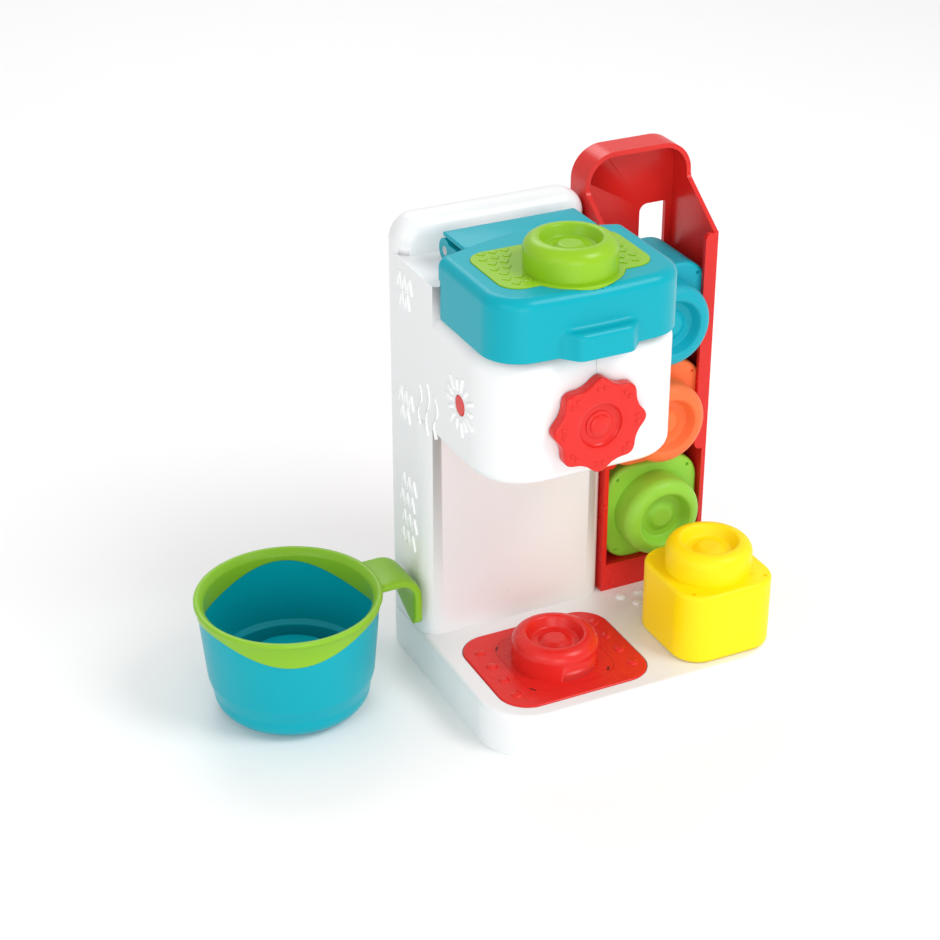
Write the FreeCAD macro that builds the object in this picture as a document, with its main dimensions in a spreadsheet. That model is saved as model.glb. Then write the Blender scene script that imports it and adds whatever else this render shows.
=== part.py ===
"""Toy coffee maker: a white tray and housing, a hinged lid, a turning dispenser, a block chute, blocks and a mug.

The origin is the centre of the tray's underside. +X is to the machine's right, +Y to its back, +Z up.
Every length is in millimetres.
"""
import FreeCAD, Part
import Sketcher
import math
import os

# Driving dimensions, each written once. They fill the spreadsheet that every feature is bound to.
SIZES = {
    # Tray
    "tray_width": 146.0,
    "tray_depth": 119.0,
    "tray_height": 21.0,
    "tray_front_radius": 24.0,
    "tray_back_radius": 8.0,
    "tray_edge_radius": 2.5,
    "tray_wall": 2.6,
    "cover_thickness": 3.0,
    "cover_gap": 0.2,
    "grip_dot_radius": 2.6,
    "grip_dot_rise": 1.3,
    "grip_dot_spacing": 9.5,
    # Cup stand plate in the tray
    "plate_width": 73.0,
    "plate_depth": 61.0,
    "plate_radius": 14.0,
    "plate_thickness": 3.0,
    "plate_rise": 0.5,
    "plate_from_left": 45.5,
    "plate_from_front": 38.3,
    "plate_gap": 0.35,
    "stud_base_side": 45.0,
    "stud_base_radius": 11.0,
    "stud_base_thickness": 2.2,
    # Housing: column, head, shoulder and upper wall
    "column_width": 92.0,
    "column_depth": 40.6,
    "column_front_radius": 9.0,
    "housing_wall": 2.4,
    "back_radius": 8.0,
    "head_bottom": 130.0,
    "head_top": 188.0,
    "head_depth": 109.7,
    "head_corner_radius": 24.0,
    "head_inner_radius": 19.0,
    "head_top_radius": 8.0,
    "head_bottom_radius": 5.0,
    "shoulder_depth": 52.3,
    "shoulder_top": 200.8,
    "shoulder_radius": 2.5,
    "wall_thickness": 17.7,
    "wall_top": 217.0,
    "wall_corner_radius": 12.0,
    "mouth_width": 54.0,
    "scoop_room": 0.5,
    "drop_width": 63.0,
    "plug_hole_radius": 4.7,
    "plug_from_front": 41.7,
    "plug_height": 157.5,
    "plug_flange": 1.6,
    # Dispenser: knob, shaft, scoop and bearings
    "axis_height": 155.4,
    "shaft_radius": 4.0,
    "running_clearance": 0.06,
    "bush_wall": 2.4,
    "bush_flange": 2.0,
    "bush_flange_thickness": 1.6,
    "knob_radius": 22.0,
    "knob_valley": 18.6,
    "knob_valley_radius": 9.0,
    "knob_tip_radius": 1.6,
    "knob_bore_depth": 2.4,
    "knob_lobes": 8.0,
    "knob_thickness": 5.2,
    "knob_gap": 0.5,
    "knob_dish_radius": 9.4,
    "knob_dish_depth": 1.8,
    "knob_cap_radius": 4.9,
    "knob_cap_thickness": 2.0,
    "knob_peg_radius": 1.5,
    "knob_peg_length": 6.0,
    "scoop_width": 51.0,
    "scoop_length": 50.6,
    "scoop_depth": 21.0,
    "scoop_wall": 2.0,
    "scoop_lip": 3.0,
    "scoop_corner_radius": 8.5,
        "bearing_plate_thickness": 3.0,
    "end_play": 0.4,
    # Lid, its insert and its hinge
    "lid_left_gap": 0.8,
    "lid_right_gap": 3.4,
    "lid_front_overhang": 3.3,
    "lid_top": 215.5,
    "lid_wall": 2.2,
    "lid_seat_gap": 0.3,
    "lid_step_gap": 0.8,
    "lid_corner_radius": 17.0,
    "lid_back_radius": 5.0,
    "lid_edge_radius": 4.8,
    "lid_front_bow": 2.5,
    "lid_back_bow": 15.0,
    "lip_width": 42.0,
    "lip_front_width": 24.0,
    "lip_reach": 6.0,
    "lip_height": 11.5,
    "insert_width": 69.0,
    "insert_front": 19.5,
    "insert_back": 60.0,
    "insert_radius": 9.0,
    "insert_bow_radius": 22.5,
    "insert_thickness": 2.0,
    "insert_rise": 0.6,
    "insert_gap": 0.1,
    "lid_stud_from_front": 31.0,
    "hinge_from_back": 32.5,
    "hinge_height": 207.2,
    "pin_radius": 2.0,
    "knuckle_radius": 5.6,
    "knuckle_length": 15.0,
    "knuckle_spacing": 48.0,
    "knuckle_gap": 0.4,
    # Block chute
    "chute_width": 54.0,
    "chute_depth": 40.0,
    "chute_top": 230.5,
    "chute_wall": 2.2,
    "chute_corner_radius": 14.5,
    "chute_handle_depth": 14.0,
    "flare_low": 195.0,
    "flare_high": 213.5,
    "chute_floor": 34.9,
    "flange_reach": 6.3,
    "flange_thickness": 2.2,
    "flange_end": 86.5,
    "window_from_right": 19.0,
    "window_width": 13.6,
    "window_bottom": 160.0,
    "window_top": 198.0,
    "window_radius": 4.0,
    # Soft blocks and every stud
    "block_side": 49.1,
    "block_height": 35.0,
    "block_corner_radius": 13.5,
    "block_edge_radius": 2.2,
    "block_play": 0.3,
    "stud_radius": 19.7,
    "stud_height": 14.0,
    "stud_edge_radius": 5.5,
    "dish_radius": 13.2,
    "dish_edge_radius": 1.5,
    "dish_slope": 2.4,
    "dome_foot_radius": 7.6,
    "dome_top_radius": 4.8,
    "dome_softness": 2.0,
    "dish_depth": 5.0,
    "dish_dome": 1.8,
    "socket_clearance": 0.4,
    "vent_radius": 0.9,
    "vent_offset": 18.7,
    "yellow_from_right": 27.5,
    "yellow_from_front": 28.9,
    # Mug
    "mug_from_left": 62.5,
    "mug_from_front": 88.0,
    "mug_height": 56.7,
    "mug_rim_radius": 42.0,
    "mug_wall": 1.8,
    "mug_mouth_radius": 40.0,
    "mug_waist_radius": 37.7,
    "mug_waist_height": 18.5,
    "mug_foot_radius": 35.2,
    "mug_foot_height": 11.5,
    "mug_base_radius": 28.0,
    "mug_hub_radius": 22.4,
    "mug_hub_height": 21.5,
    "rim_band": 9.6,
    "rim_bead": 2.4,
    "rim_wall": 0.7,
    "handle_reach": 59.0,
    "handle_thickness": 4.4,
    "handle_bottom": 30.0,
    "handle_bend": 9.5,
    "handle_drop": 1.15,
    "handle_width": 25.0,
    "handle_turn": 1.5,
    # Screws
    "screw_radius": 1.5,
    "screw_head_radius": 3.0,
    "screw_head_height": 1.6,
    "screw_length": 12.0,
    "boss_radius": 4.0,
    "boss_height": 11.0,
    "pilot_clearance": 0.05,
}

doc = FreeCAD.newDocument("ToyCoffeeMaker")
sheet = doc.addObject("Spreadsheet::Sheet", "Sizes")
for row, (alias, number) in enumerate(SIZES.items(), start=1):
    sheet.set(f"A{row}", alias)
    sheet.set(f"B{row}", str(number))
    sheet.setAlias(f"B{row}", alias)
doc.recompute()


class Size:
    """A length that carries its number and the spreadsheet expression that it comes from."""

    def __init__(self, text, number):
        self.text = text
        self.number = number

    def __add__(self, other):
        other = as_size(other)
        return Size(f"({self.text} + {other.text})", self.number + other.number)

    def __sub__(self, other):
        other = as_size(other)
        return Size(f"({self.text} - {other.text})", self.number - other.number)

    def __mul__(self, other):
        other = as_size(other)
        return Size(f"({self.text} * {other.text})", self.number * other.number)

    def __truediv__(self, other):
        other = as_size(other)
        return Size(f"({self.text} / {other.text})", self.number / other.number)

    def __neg__(self):
        return Size(f"(0 - {self.text})", -self.number)

    __radd__ = __add__
    __rmul__ = __mul__

    def __rsub__(self, other):
        return as_size(other) - self


def as_size(thing):
    return thing if isinstance(thing, Size) else Size(f"{float(thing):.6f}", float(thing))


class Sheet:
    """The spreadsheet's values by name, as Size objects."""

    def __getattr__(self, alias):
        return Size(f"Sizes.{alias}", SIZES[alias])


S = Sheet()

# Places that several pieces share
LEFT = -S.tray_width / 2
RIGHT = S.tray_width / 2
FRONT = -S.tray_depth / 2
BACK = S.tray_depth / 2
COLUMN_RIGHT = LEFT + S.column_width
SEAM = LEFT + S.column_width / 2
COLUMN_FRONT = BACK - S.column_depth
HEAD_FRONT = BACK - S.head_depth
STEP = BACK - S.shoulder_depth
WALL_FRONT = BACK - S.wall_thickness
CHUTE_LEFT = COLUMN_RIGHT
CHUTE_RIGHT = COLUMN_RIGHT + S.chute_width
CHUTE_FRONT = BACK - S.chute_depth
STUD_X = LEFT + S.plate_from_left
STUD_Y = FRONT + S.plate_from_front
HINGE_Y = BACK - S.hinge_from_back
LID_X = (LEFT + S.lid_left_gap + COLUMN_RIGHT - S.lid_right_gap) / 2
SCOOP_FRONT = HEAD_FRONT + S.housing_wall + S.bush_flange_thickness + S.end_play
SCOOP_BACK = SCOOP_FRONT + S.scoop_length + 2 * S.scoop_wall
BEARING_FRONT = SCOOP_BACK + S.end_play


def plane(body, role):
    return next(f for f in body.Origin.OriginFeatures if f.Role == role)


def new_body(label):
    body = doc.addObject("PartDesign::Body", label)
    body.Label = label
    return body


def new_sketch(body, role, offset):
    """A sketch on one of the body's own planes, moved along that plane's normal by offset."""
    sketch = body.newObject("Sketcher::SketchObject", body.Label + "_sketch")
    sketch.AttachmentSupport = [(plane(body, role), "")]
    sketch.MapMode = "FlatFace"
    sketch.setExpression("AttachmentOffset.Base.z", as_size(offset).text)
    return sketch


def fix_point(sketch, geometry, end, x, y):
    """Tie one point of the sketch to its coordinates in the sheet's values."""
    for kind, size in (("DistanceX", as_size(x)), ("DistanceY", as_size(y))):
        index = sketch.addConstraint(make_constraint(kind, -1, 1, geometry, end, size.number))
        sketch.setExpression(f"Constraints[{index}]", size.text)


def make_constraint(kind, *values):
    return Sketcher.Constraint(kind, *values)


def draw_outline(sketch, corners):
    """A closed outline through corners (x, y) or (x, y, radius), each a Size or a number."""
    points = [FreeCAD.Vector(as_size(c[0]).number, as_size(c[1]).number, 0) for c in corners]
    radii = [as_size(c[2]) if len(c) > 2 else None for c in corners]
    count = len(corners)
    arrive = []
    leave = []
    arcs = {}
    for i, corner in enumerate(points):
        if radii[i] is None:
            arrive.append(corner)
            leave.append(corner)
            continue
        before = (points[i - 1] - corner).normalize()
        after = (points[(i + 1) % count] - corner).normalize()
        half = before.getAngle(after) / 2
        reach = radii[i].number / math.tan(half)
        start = corner + before * reach
        finish = corner + after * reach
        centre = corner + (before + after).normalize() * (radii[i].number / math.sin(half))
        turns_left = before.cross(after).z < 0
        first, last = (start, finish) if turns_left else (finish, start)
        angles = [math.atan2(p.y - centre.y, p.x - centre.x) for p in (first, last)]
        circle = Part.Circle(centre, FreeCAD.Vector(0, 0, 1), radii[i].number)
        arc = sketch.addGeometry(Part.ArcOfCircle(circle, angles[0], angles[1]), False)
        arcs[i] = (arc, 1 if turns_left else 2, 2 if turns_left else 1)
        arrive.append(start)
        leave.append(finish)
    lines = []
    for i in range(count):
        segment = Part.LineSegment(leave[i], arrive[(i + 1) % count])
        lines.append(sketch.addGeometry(segment, False))
    for i in range(count):
        before, after = lines[i - 1], lines[i]
        if radii[i] is None:
            sketch.addConstraint(make_constraint("Coincident", before, 2, after, 1))
            fix_point(sketch, after, 1, corners[i][0], corners[i][1])
            continue
        arc, near, far = arcs[i]
        sketch.addConstraint(make_constraint("Tangent", before, 2, arc, near))
        sketch.addConstraint(make_constraint("Tangent", arc, far, after, 1))
        index = sketch.addConstraint(make_constraint("Radius", arc, radii[i].number))
        sketch.setExpression(f"Constraints[{index}]", radii[i].text)
        mark = sketch.addGeometry(Part.Point(points[i]), True)
        fix_point(sketch, mark, 1, corners[i][0], corners[i][1])
        sketch.addConstraint(make_constraint("PointOnObject", mark, 1, before))
        sketch.addConstraint(make_constraint("PointOnObject", mark, 1, after))


def draw_circle(sketch, x, y, radius):
    x, y, radius = as_size(x), as_size(y), as_size(radius)
    centre = FreeCAD.Vector(x.number, y.number, 0)
    circle = sketch.addGeometry(Part.Circle(centre, FreeCAD.Vector(0, 0, 1), radius.number), False)
    index = sketch.addConstraint(make_constraint("Radius", circle, radius.number))
    sketch.setExpression(f"Constraints[{index}]", radius.text)
    fix_point(sketch, circle, 3, x, y)


def box_corners(x0, x1, y0, y1, *radii):
    """Corners of an upright rectangle, anticlockwise from the lower left, with up to four radii."""
    corners = [(x0, y0), (x1, y0), (x1, y1), (x0, y1)]
    return [c + (r,) if r is not None else c for c, r in zip(corners, radii or (None,) * 4)]


def volume_of(body):
    return body.Shape.Volume if not body.Shape.isNull() else 0.0


def extrude(body, kind, sketch, length, reverse):
    """Pad or pocket a sketch, and make sure that it added or cut material."""
    doc.recompute()
    before = volume_of(body)
    feature = body.newObject(f"PartDesign::{kind}", f"{body.Label}_{kind.lower()}")
    feature.Profile = sketch
    feature.Reversed = reverse
    feature.setExpression("Length", as_size(length).text)
    doc.recompute()
    change = volume_of(body) - before
    wrong = change <= 0 if kind == "Pad" else change >= 0
    if wrong:
        raise RuntimeError(f"{feature.Label} changed the volume by {change:.3f}")
    return feature


def pad_up(body, z, height, corners):
    """A plan outline, padded up from height z."""
    sketch = new_sketch(body, "XY_Plane", z)
    draw_outline(sketch, corners)
    return extrude(body, "Pad", sketch, height, False)


def pocket_up(body, z, height, corners):
    sketch = new_sketch(body, "XY_Plane", z)
    draw_outline(sketch, corners)
    return extrude(body, "Pocket", sketch, height, True)


def pad_back(body, y, depth, corners):
    """An outline seen from the front, padded backwards from y."""
    sketch = new_sketch(body, "XZ_Plane", -as_size(y))
    draw_outline(sketch, corners)
    return extrude(body, "Pad", sketch, depth, True)


def pocket_back(body, y, depth, corners):
    sketch = new_sketch(body, "XZ_Plane", -as_size(y))
    draw_outline(sketch, corners)
    return extrude(body, "Pocket", sketch, depth, False)


def pad_right(body, x, width, corners):
    """An outline seen from the right, padded towards +X from x."""
    sketch = new_sketch(body, "YZ_Plane", x)
    draw_outline(sketch, corners)
    return extrude(body, "Pad", sketch, width, False)


def pocket_right(body, x, width, corners):
    sketch = new_sketch(body, "YZ_Plane", x)
    draw_outline(sketch, corners)
    return extrude(body, "Pocket", sketch, width, True)


ROLES = {"up": ("XY_Plane", 1), "back": ("XZ_Plane", -1), "right": ("YZ_Plane", 1)}


def round_bar(body, kind, way, level, length, x, y, radius):
    """A round pad or pocket that runs up, back or right from level, centred on (x, y) of its plane."""
    role, sign = ROLES[way]
    sketch = new_sketch(body, role, as_size(level) * sign)
    draw_circle(sketch, x, y, radius)
    reverse = (sign < 0) == (kind == "Pad")
    return extrude(body, kind, sketch, length, reverse)


def find_edges(shape, test):
    names = []
    for number, edge in enumerate(shape.Edges, start=1):
        if test(edge):
            names.append(f"Edge{number}")
    return names


def on_level(edge, axis, value, slack=0.001):
    """True if the whole edge lies at one coordinate."""
    box = edge.BoundBox
    low, high = {"x": (box.XMin, box.XMax), "y": (box.YMin, box.YMax), "z": (box.ZMin, box.ZMax)}[axis]
    return abs(low - value) < slack and abs(high - value) < slack


def fillet(body, radius, test):
    """Round the edges of the body's tip that pass the test."""
    doc.recompute()
    base = body.Tip
    names = find_edges(base.Shape, test)
    if not names:
        raise RuntimeError(f"no edge found to round on {body.Label}")
    feature = body.newObject("PartDesign::Fillet", f"{body.Label}_fillet")
    feature.Base = (base, names)
    feature.setExpression("Radius", as_size(radius).text)
    doc.recompute()
    if feature.Shape.isNull() or "Invalid" in feature.State:
        raise RuntimeError(f"{feature.Label} on {len(names)} edges: {feature.getStatusString()}")
    return feature


def revolve(body, corners, cut=False):
    """Spin an outline (radius, height) about the body's own Z axis."""
    doc.recompute()
    before = volume_of(body)
    sketch = new_sketch(body, "XZ_Plane", 0)
    draw_outline(sketch, corners)
    kind = "Groove" if cut else "Revolution"
    feature = body.newObject(f"PartDesign::{kind}", f"{body.Label}_{kind.lower()}")
    feature.Profile = sketch
    feature.ReferenceAxis = (sketch, ["V_Axis"])
    feature.Angle = 360
    doc.recompute()
    change = volume_of(body) - before
    if (change >= 0) if cut else (change <= 0):
        raise RuntimeError(f"{feature.Label} changed the volume by {change:.3f}")
    return feature


def place(body, x, y, z, rotation=None):
    """Move a body made at the origin to its place, turned first if need be."""
    if rotation:
        body.Placement = FreeCAD.Placement(FreeCAD.Vector(), rotation)
    for axis, size in (("x", x), ("y", y), ("z", z)):
        body.setExpression(f"Placement.Base.{axis}", as_size(size).text)


# Studs: a round peg with a rounded rim, a dished top and a low dome in the dish
def add_stud(body, height, foot=None):
    """Add a stud whose foot is at the given height, on the body's own Z axis, sunk to foot if given."""
    base = as_size(height)
    foot = base if foot is None else as_size(foot)
    top = base + S.stud_height
    sketch_corners = [
        (0, foot),
        (S.stud_radius, foot),
        (S.stud_radius, top, S.stud_edge_radius),
        (S.dish_radius, top, S.dish_edge_radius),
        (S.dish_radius - S.dish_slope, top - S.dish_depth, S.dish_edge_radius - 0.3),
        (S.dome_foot_radius, top - S.dish_depth, S.dome_softness - 0.2),
        (S.dome_top_radius, top - S.dish_depth + S.dish_dome, S.dome_softness),
        (0, top - S.dish_depth + S.dish_dome),
    ]
    return revolve(body, sketch_corners)


def build_tray():
    body = new_body("base_tray")
    pad_up(body, 0, S.tray_height, box_corners(
        LEFT, RIGHT, FRONT, BACK, S.tray_front_radius, S.tray_front_radius,
        S.tray_back_radius, S.tray_back_radius))
    fillet(body, S.tray_edge_radius, lambda e: on_level(e, "z", S.tray_height.number))
    inset = S.tray_wall
    pocket_up(body, 0, S.tray_height - S.tray_wall, box_corners(
        LEFT + inset, RIGHT - inset, FRONT + inset, BACK - inset, S.tray_front_radius - inset,
        S.tray_front_radius - inset, S.tray_back_radius - inset, S.tray_back_radius - inset))
    # Well for the cup stand plate: a recess with a ledge under its edge
    half_w = S.plate_width / 2 + S.plate_gap
    half_d = S.plate_depth / 2 + S.plate_gap
    ledge = 4.0
    pad_up(body, S.tray_height - S.plate_thickness - S.tray_wall, S.plate_thickness, box_corners(
        STUD_X - half_w - inset, STUD_X + half_w + inset, STUD_Y - half_d - inset, STUD_Y + half_d + inset,
        *(S.plate_radius + inset,) * 4))
    pocket_up(body, S.tray_height - S.plate_thickness + S.plate_rise, S.plate_thickness, box_corners(
        STUD_X - half_w, STUD_X + half_w, STUD_Y - half_d, STUD_Y + half_d,
        *(S.plate_radius + S.plate_gap,) * 4))
    pocket_up(body, S.tray_height - 3 * S.plate_thickness, 3 * S.plate_thickness, box_corners(
        STUD_X - half_w + ledge, STUD_X + half_w - ledge, STUD_Y - half_d + ledge, STUD_Y + half_d - ledge,
        *(S.plate_radius - ledge,) * 4))
    # Four posts that the bottom cover screws to
    for x, y in cover_screw_places():
        round_bar(body, "Pad", "up", S.cover_thickness, S.tray_height - S.tray_wall - S.cover_thickness,
                  x, y, S.boss_radius)
        round_bar(body, "Pocket", "up", S.cover_thickness, S.screw_length,
                  x, y, S.screw_radius + S.pilot_clearance)
    # Holes for the screws that hold the column and the chute from below
    for x, y in column_screw_places() + chute_screw_places():
        round_bar(body, "Pocket", "up", S.tray_height - 2 * S.tray_wall, 2 * S.tray_wall, x, y,
                  S.screw_radius + S.pilot_clearance)
    # Three raised dots between the chute and the standing block
    dots = ((0, 0), (1, 0), (0.5, -0.87))
    for right, up in dots:
        x = LEFT + 98.0 + S.grip_dot_spacing * right
        y = FRONT + 71.0 + S.grip_dot_spacing * up
        round_bar(body, "Pad", "up", S.tray_height, S.grip_dot_rise, x, y, S.grip_dot_radius)
        top = S.tray_height.number + S.grip_dot_rise.number
        fillet(body, S.grip_dot_rise - 0.05, lambda e: on_level(e, "z", top) and near(e, x, y))
    return body


def near(edge, x, y, reach=3.0):
    middle = edge.BoundBox.Center
    return math.hypot(middle.x - x.number, middle.y - y.number) < reach


def cover_screw_places():
    reach_x = S.tray_width / 2 - 12.0
    reach_y = S.tray_depth / 2 - 12.0
    return [(-reach_x, -reach_y + 6.0), (reach_x, -reach_y + 6.0), (-reach_x, reach_y), (reach_x, reach_y)]


def column_screw_places():
    return [(SEAM - 24.0, COLUMN_FRONT + S.column_depth / 2), (SEAM + 24.0, COLUMN_FRONT + S.column_depth / 2)]


def chute_screw_places():
    return [(CHUTE_LEFT + 13.0, CHUTE_FRONT + S.chute_depth / 2),
            (CHUTE_LEFT + 34.0, CHUTE_FRONT + S.chute_depth / 2)]


def build_cover():
    body = new_body("bottom_cover")
    inset = S.tray_wall + S.cover_gap
    pad_up(body, 0, S.cover_thickness, box_corners(
        LEFT + inset, RIGHT - inset, FRONT + inset, BACK - inset, S.tray_front_radius - inset,
        S.tray_front_radius - inset, S.tray_back_radius - inset, S.tray_back_radius - inset))
    for x, y in cover_screw_places():
        round_bar(body, "Pocket", "up", 0, S.cover_thickness, x, y, S.screw_radius + S.pilot_clearance)
        round_bar(body, "Pocket", "up", 0, S.screw_head_height + 0.2, x, y, S.screw_head_radius + 0.2)
    return body


def screw_group(label, places, seat):
    """A group of like screws that point up from a seat height, each its own solid."""
    pieces = []
    for number, (x, y) in enumerate(places, start=1):
        head = doc.addObject("Part::Cylinder", f"{label}_head{number}")
        head.setExpression("Radius", S.screw_head_radius.text)
        head.setExpression("Height", S.screw_head_height.text)
        shank = doc.addObject("Part::Cylinder", f"{label}_shank{number}")
        shank.setExpression("Radius", S.screw_radius.text)
        shank.setExpression("Height", (S.screw_length + S.screw_head_height).text)
        low = as_size(seat) - S.screw_head_height
        for piece in (head, shank):
            piece.setExpression("Placement.Base.x", as_size(x).text)
            piece.setExpression("Placement.Base.y", as_size(y).text)
            piece.setExpression("Placement.Base.z", low.text)
        screw = doc.addObject("Part::Fuse", f"{label}_{number}")
        screw.Base = head
        screw.Tool = shank
        pieces.append(screw)
    group = doc.addObject("Part::Compound", label)
    group.Label = label
    group.Links = pieces
    return group


def build_plate():
    """Red plate let into the tray, with an opening for the base of its stud."""
    body = new_body("cup_plate")
    low = S.tray_height - S.plate_thickness + S.plate_rise
    half_w = S.plate_width / 2
    half_d = S.plate_depth / 2
    pad_up(body, low, S.plate_thickness, box_corners(
        STUD_X - half_w, STUD_X + half_w, STUD_Y - half_d, STUD_Y + half_d, *(S.plate_radius,) * 4))
    top = low.number + S.plate_thickness.number
    fillet(body, 0.8, lambda e: on_level(e, "z", top))
    half = S.stud_base_side / 2 + 0.15
    pocket_up(body, low + S.plate_thickness - S.stud_base_thickness, S.stud_base_thickness, box_corners(
        STUD_X - half, STUD_X + half, STUD_Y - half, STUD_Y + half, *(S.stud_base_radius + 0.15,) * 4))
    return body


def build_plate_stud():
    body = new_body("cup_stud")
    half = S.stud_base_side / 2
    pad_up(body, 0, S.stud_base_thickness, box_corners(-half, half, -half, half, *(S.stud_base_radius,) * 4))
    add_stud(body, S.stud_base_thickness)
    place(body, STUD_X, STUD_Y, S.tray_height + S.plate_rise - S.stud_base_thickness)
    return body


def build_housing(label, side):
    """One half of the white housing: side is -1 for the left half and +1 for the right."""
    body = new_body(label)
    outer = LEFT if side < 0 else COLUMN_RIGHT
    half = S.column_width / 2
    wall = S.housing_wall

    def span(inset=0):
        """The half's low and high X, with its outer side set in."""
        edge = outer - inset * side
        return (edge, SEAM) if side < 0 else (SEAM, edge)

    def plan(y0, y1, front_radius, back_radius, inset=0):
        x0, x1 = span(inset)
        if side < 0:
            return box_corners(x0, x1, y0, y1, front_radius, None, None, back_radius)
        return box_corners(x0, x1, y0, y1, None, front_radius, back_radius, None)

    def outer_edge(edge, *levels):
        """True for an edge at these levels that keeps off the seam."""
        box = edge.BoundBox
        touches_seam = abs(box.XMin - SEAM.number) < 0.001 and abs(box.XMax - SEAM.number) < 0.001
        return not touches_seam and all(on_level(edge, axis, value) for axis, value in levels)

    # Head, with its rounded front corner, top edge and bottom edge
    back_of_blocks = BACK - S.back_radius - 1.0
    pad_up(body, S.head_bottom, S.head_top - S.head_bottom,
           plan(HEAD_FRONT, back_of_blocks, S.head_corner_radius, None))

    def rim_at(level):
        def test(edge):
            box = edge.BoundBox
            flat = on_level(edge, "z", level.number)
            back = box.YMin > back_of_blocks.number - 0.01
            return flat and not back and outer_edge(edge)
        return test
    fillet(body, S.head_top_radius, rim_at(S.head_top))
    fillet(body, S.head_bottom_radius, rim_at(S.head_bottom))
    # Upper wall, rounded over its top and down its outer side
    x0, x1 = span()
    radii = (None, None, None, S.wall_corner_radius) if side < 0 else (None, None, S.wall_corner_radius, None)
    pad_back(body, WALL_FRONT, S.wall_thickness, box_corners(x0, x1, S.tray_height, S.wall_top, *radii))
    # Shoulder behind the lid, and the column down to the tray
    pad_up(body, S.head_top - S.head_top_radius - 1.0, S.shoulder_top - S.head_top + S.head_top_radius + 1.0,
           plan(STEP, back_of_blocks, S.shoulder_radius, None))
    pad_up(body, S.tray_height, S.shoulder_top - S.tray_height - 2.0,
           plan(COLUMN_FRONT, back_of_blocks, S.column_front_radius, None))

    def wall_rim(edge):
        box = edge.BoundBox
        back = on_level(edge, "y", BACK.number) and box.ZMax > S.tray_height.number + 1
        front = on_level(edge, "y", WALL_FRONT.number) and box.ZMax > S.shoulder_top.number + 1
        return (back or front) and outer_edge(edge)
    fillet(body, S.back_radius, wall_rim)
    # Hollows
    pocket_up(body, S.tray_height + wall, S.shoulder_top - S.tray_height - 2 * wall,
              plan(COLUMN_FRONT + wall, BACK - wall, S.column_front_radius - wall, S.back_radius - wall, wall))
    pocket_up(body, S.head_bottom + wall, S.head_top - S.head_top_radius - S.head_bottom - wall,
              plan(HEAD_FRONT + wall, COLUMN_FRONT + 2 * S.column_front_radius,
                   S.head_inner_radius, None, wall))
    pocket_up(body, S.head_top, S.shoulder_top - S.head_top - wall,
              plan(STEP + wall, COLUMN_FRONT + 2 * S.column_front_radius, None, None, wall))
    # Mouth under the lid and drop opening over the cup
    for low, high, width in ((S.head_top - 2 * S.head_top_radius, S.head_top, S.mouth_width),
                             (S.head_bottom - 1.0, S.head_bottom + 2 * wall, S.drop_width)):
        inner = SEAM + width / 2 * side
        xs = (inner, SEAM + 1.0) if side < 0 else (SEAM - 1.0, inner)
        pocket_up(body, low, high - low, box_corners(xs[0], xs[1], SCOOP_FRONT - S.scoop_room,
                                                     SCOOP_BACK + S.scoop_room))
    # Bore for the front bush and hole for the side plug
    round_bar(body, "Pocket", "back", HEAD_FRONT - 1.0, wall + 2.0, SEAM, S.axis_height,
              S.shaft_radius + S.running_clearance + S.bush_wall)
    start = LEFT - 1.0 if side < 0 else COLUMN_RIGHT - wall - 1.0
    round_bar(body, "Pocket", "right", start, wall + 2.0, FRONT + S.plug_from_front, S.plug_height,
              S.plug_hole_radius)
    # Bosses for the screws that join the halves, on the seam side
    for y, z in seam_screw_places():
        if side < 0:
            round_bar(body, "Pad", "right", LEFT + wall - 1.0, half - wall + 1.0, y, z, S.boss_radius)
            round_bar(body, "Pocket", "right", SEAM - S.screw_length, S.screw_length, y, z,
                      S.screw_radius + S.pilot_clearance)
        else:
            round_bar(body, "Pad", "right", SEAM, half - wall + 1.0, y, z, S.boss_radius)
            round_bar(body, "Pocket", "right", SEAM, half, y, z, S.screw_radius + S.pilot_clearance)
            round_bar(body, "Pocket", "right", SEAM + seat_depth(), half, y, z, S.screw_head_radius + 0.2)
    # Boss over the tray for the screw from below
    x, y = column_screw_places()[0 if side < 0 else 1]
    round_bar(body, "Pad", "up", S.tray_height, S.boss_height + wall, x, y, S.boss_radius)
    round_bar(body, "Pocket", "up", S.tray_height, S.screw_length - S.tray_wall + 1.0, x, y,
              S.screw_radius + S.pilot_clearance)
    # Hinge knuckle between the lid's two lugs
    knuckle = (S.knuckle_spacing - S.knuckle_length) / 2 - S.knuckle_gap
    start = SEAM - knuckle if side < 0 else SEAM
    round_bar(body, "Pad", "right", start, knuckle, HINGE_Y, S.hinge_height, S.knuckle_radius)
    x0, x1 = (SEAM - knuckle, SEAM) if side < 0 else (SEAM, SEAM + knuckle)
    pad_up(body, S.shoulder_top - 1.0, S.hinge_height - S.shoulder_top + 1.0,
           box_corners(x0, x1, HINGE_Y - S.knuckle_radius + 0.6, HINGE_Y + S.knuckle_radius - 0.6))
    round_bar(body, "Pocket", "right", start - 1.0, knuckle + 2.0, HINGE_Y, S.hinge_height,
              S.pin_radius + S.running_clearance)
    return body


def seat_depth():
    """How far from the seam the heads of the housing's screws sit."""
    return S.screw_length * 0.4


def seam_screw_places():
    y = COLUMN_FRONT + S.column_depth / 2 + 8.0
    return [(y, S.tray_height + 24.0), (y, S.head_bottom - 22.0), (y, S.shoulder_top - 14.0)]


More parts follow.
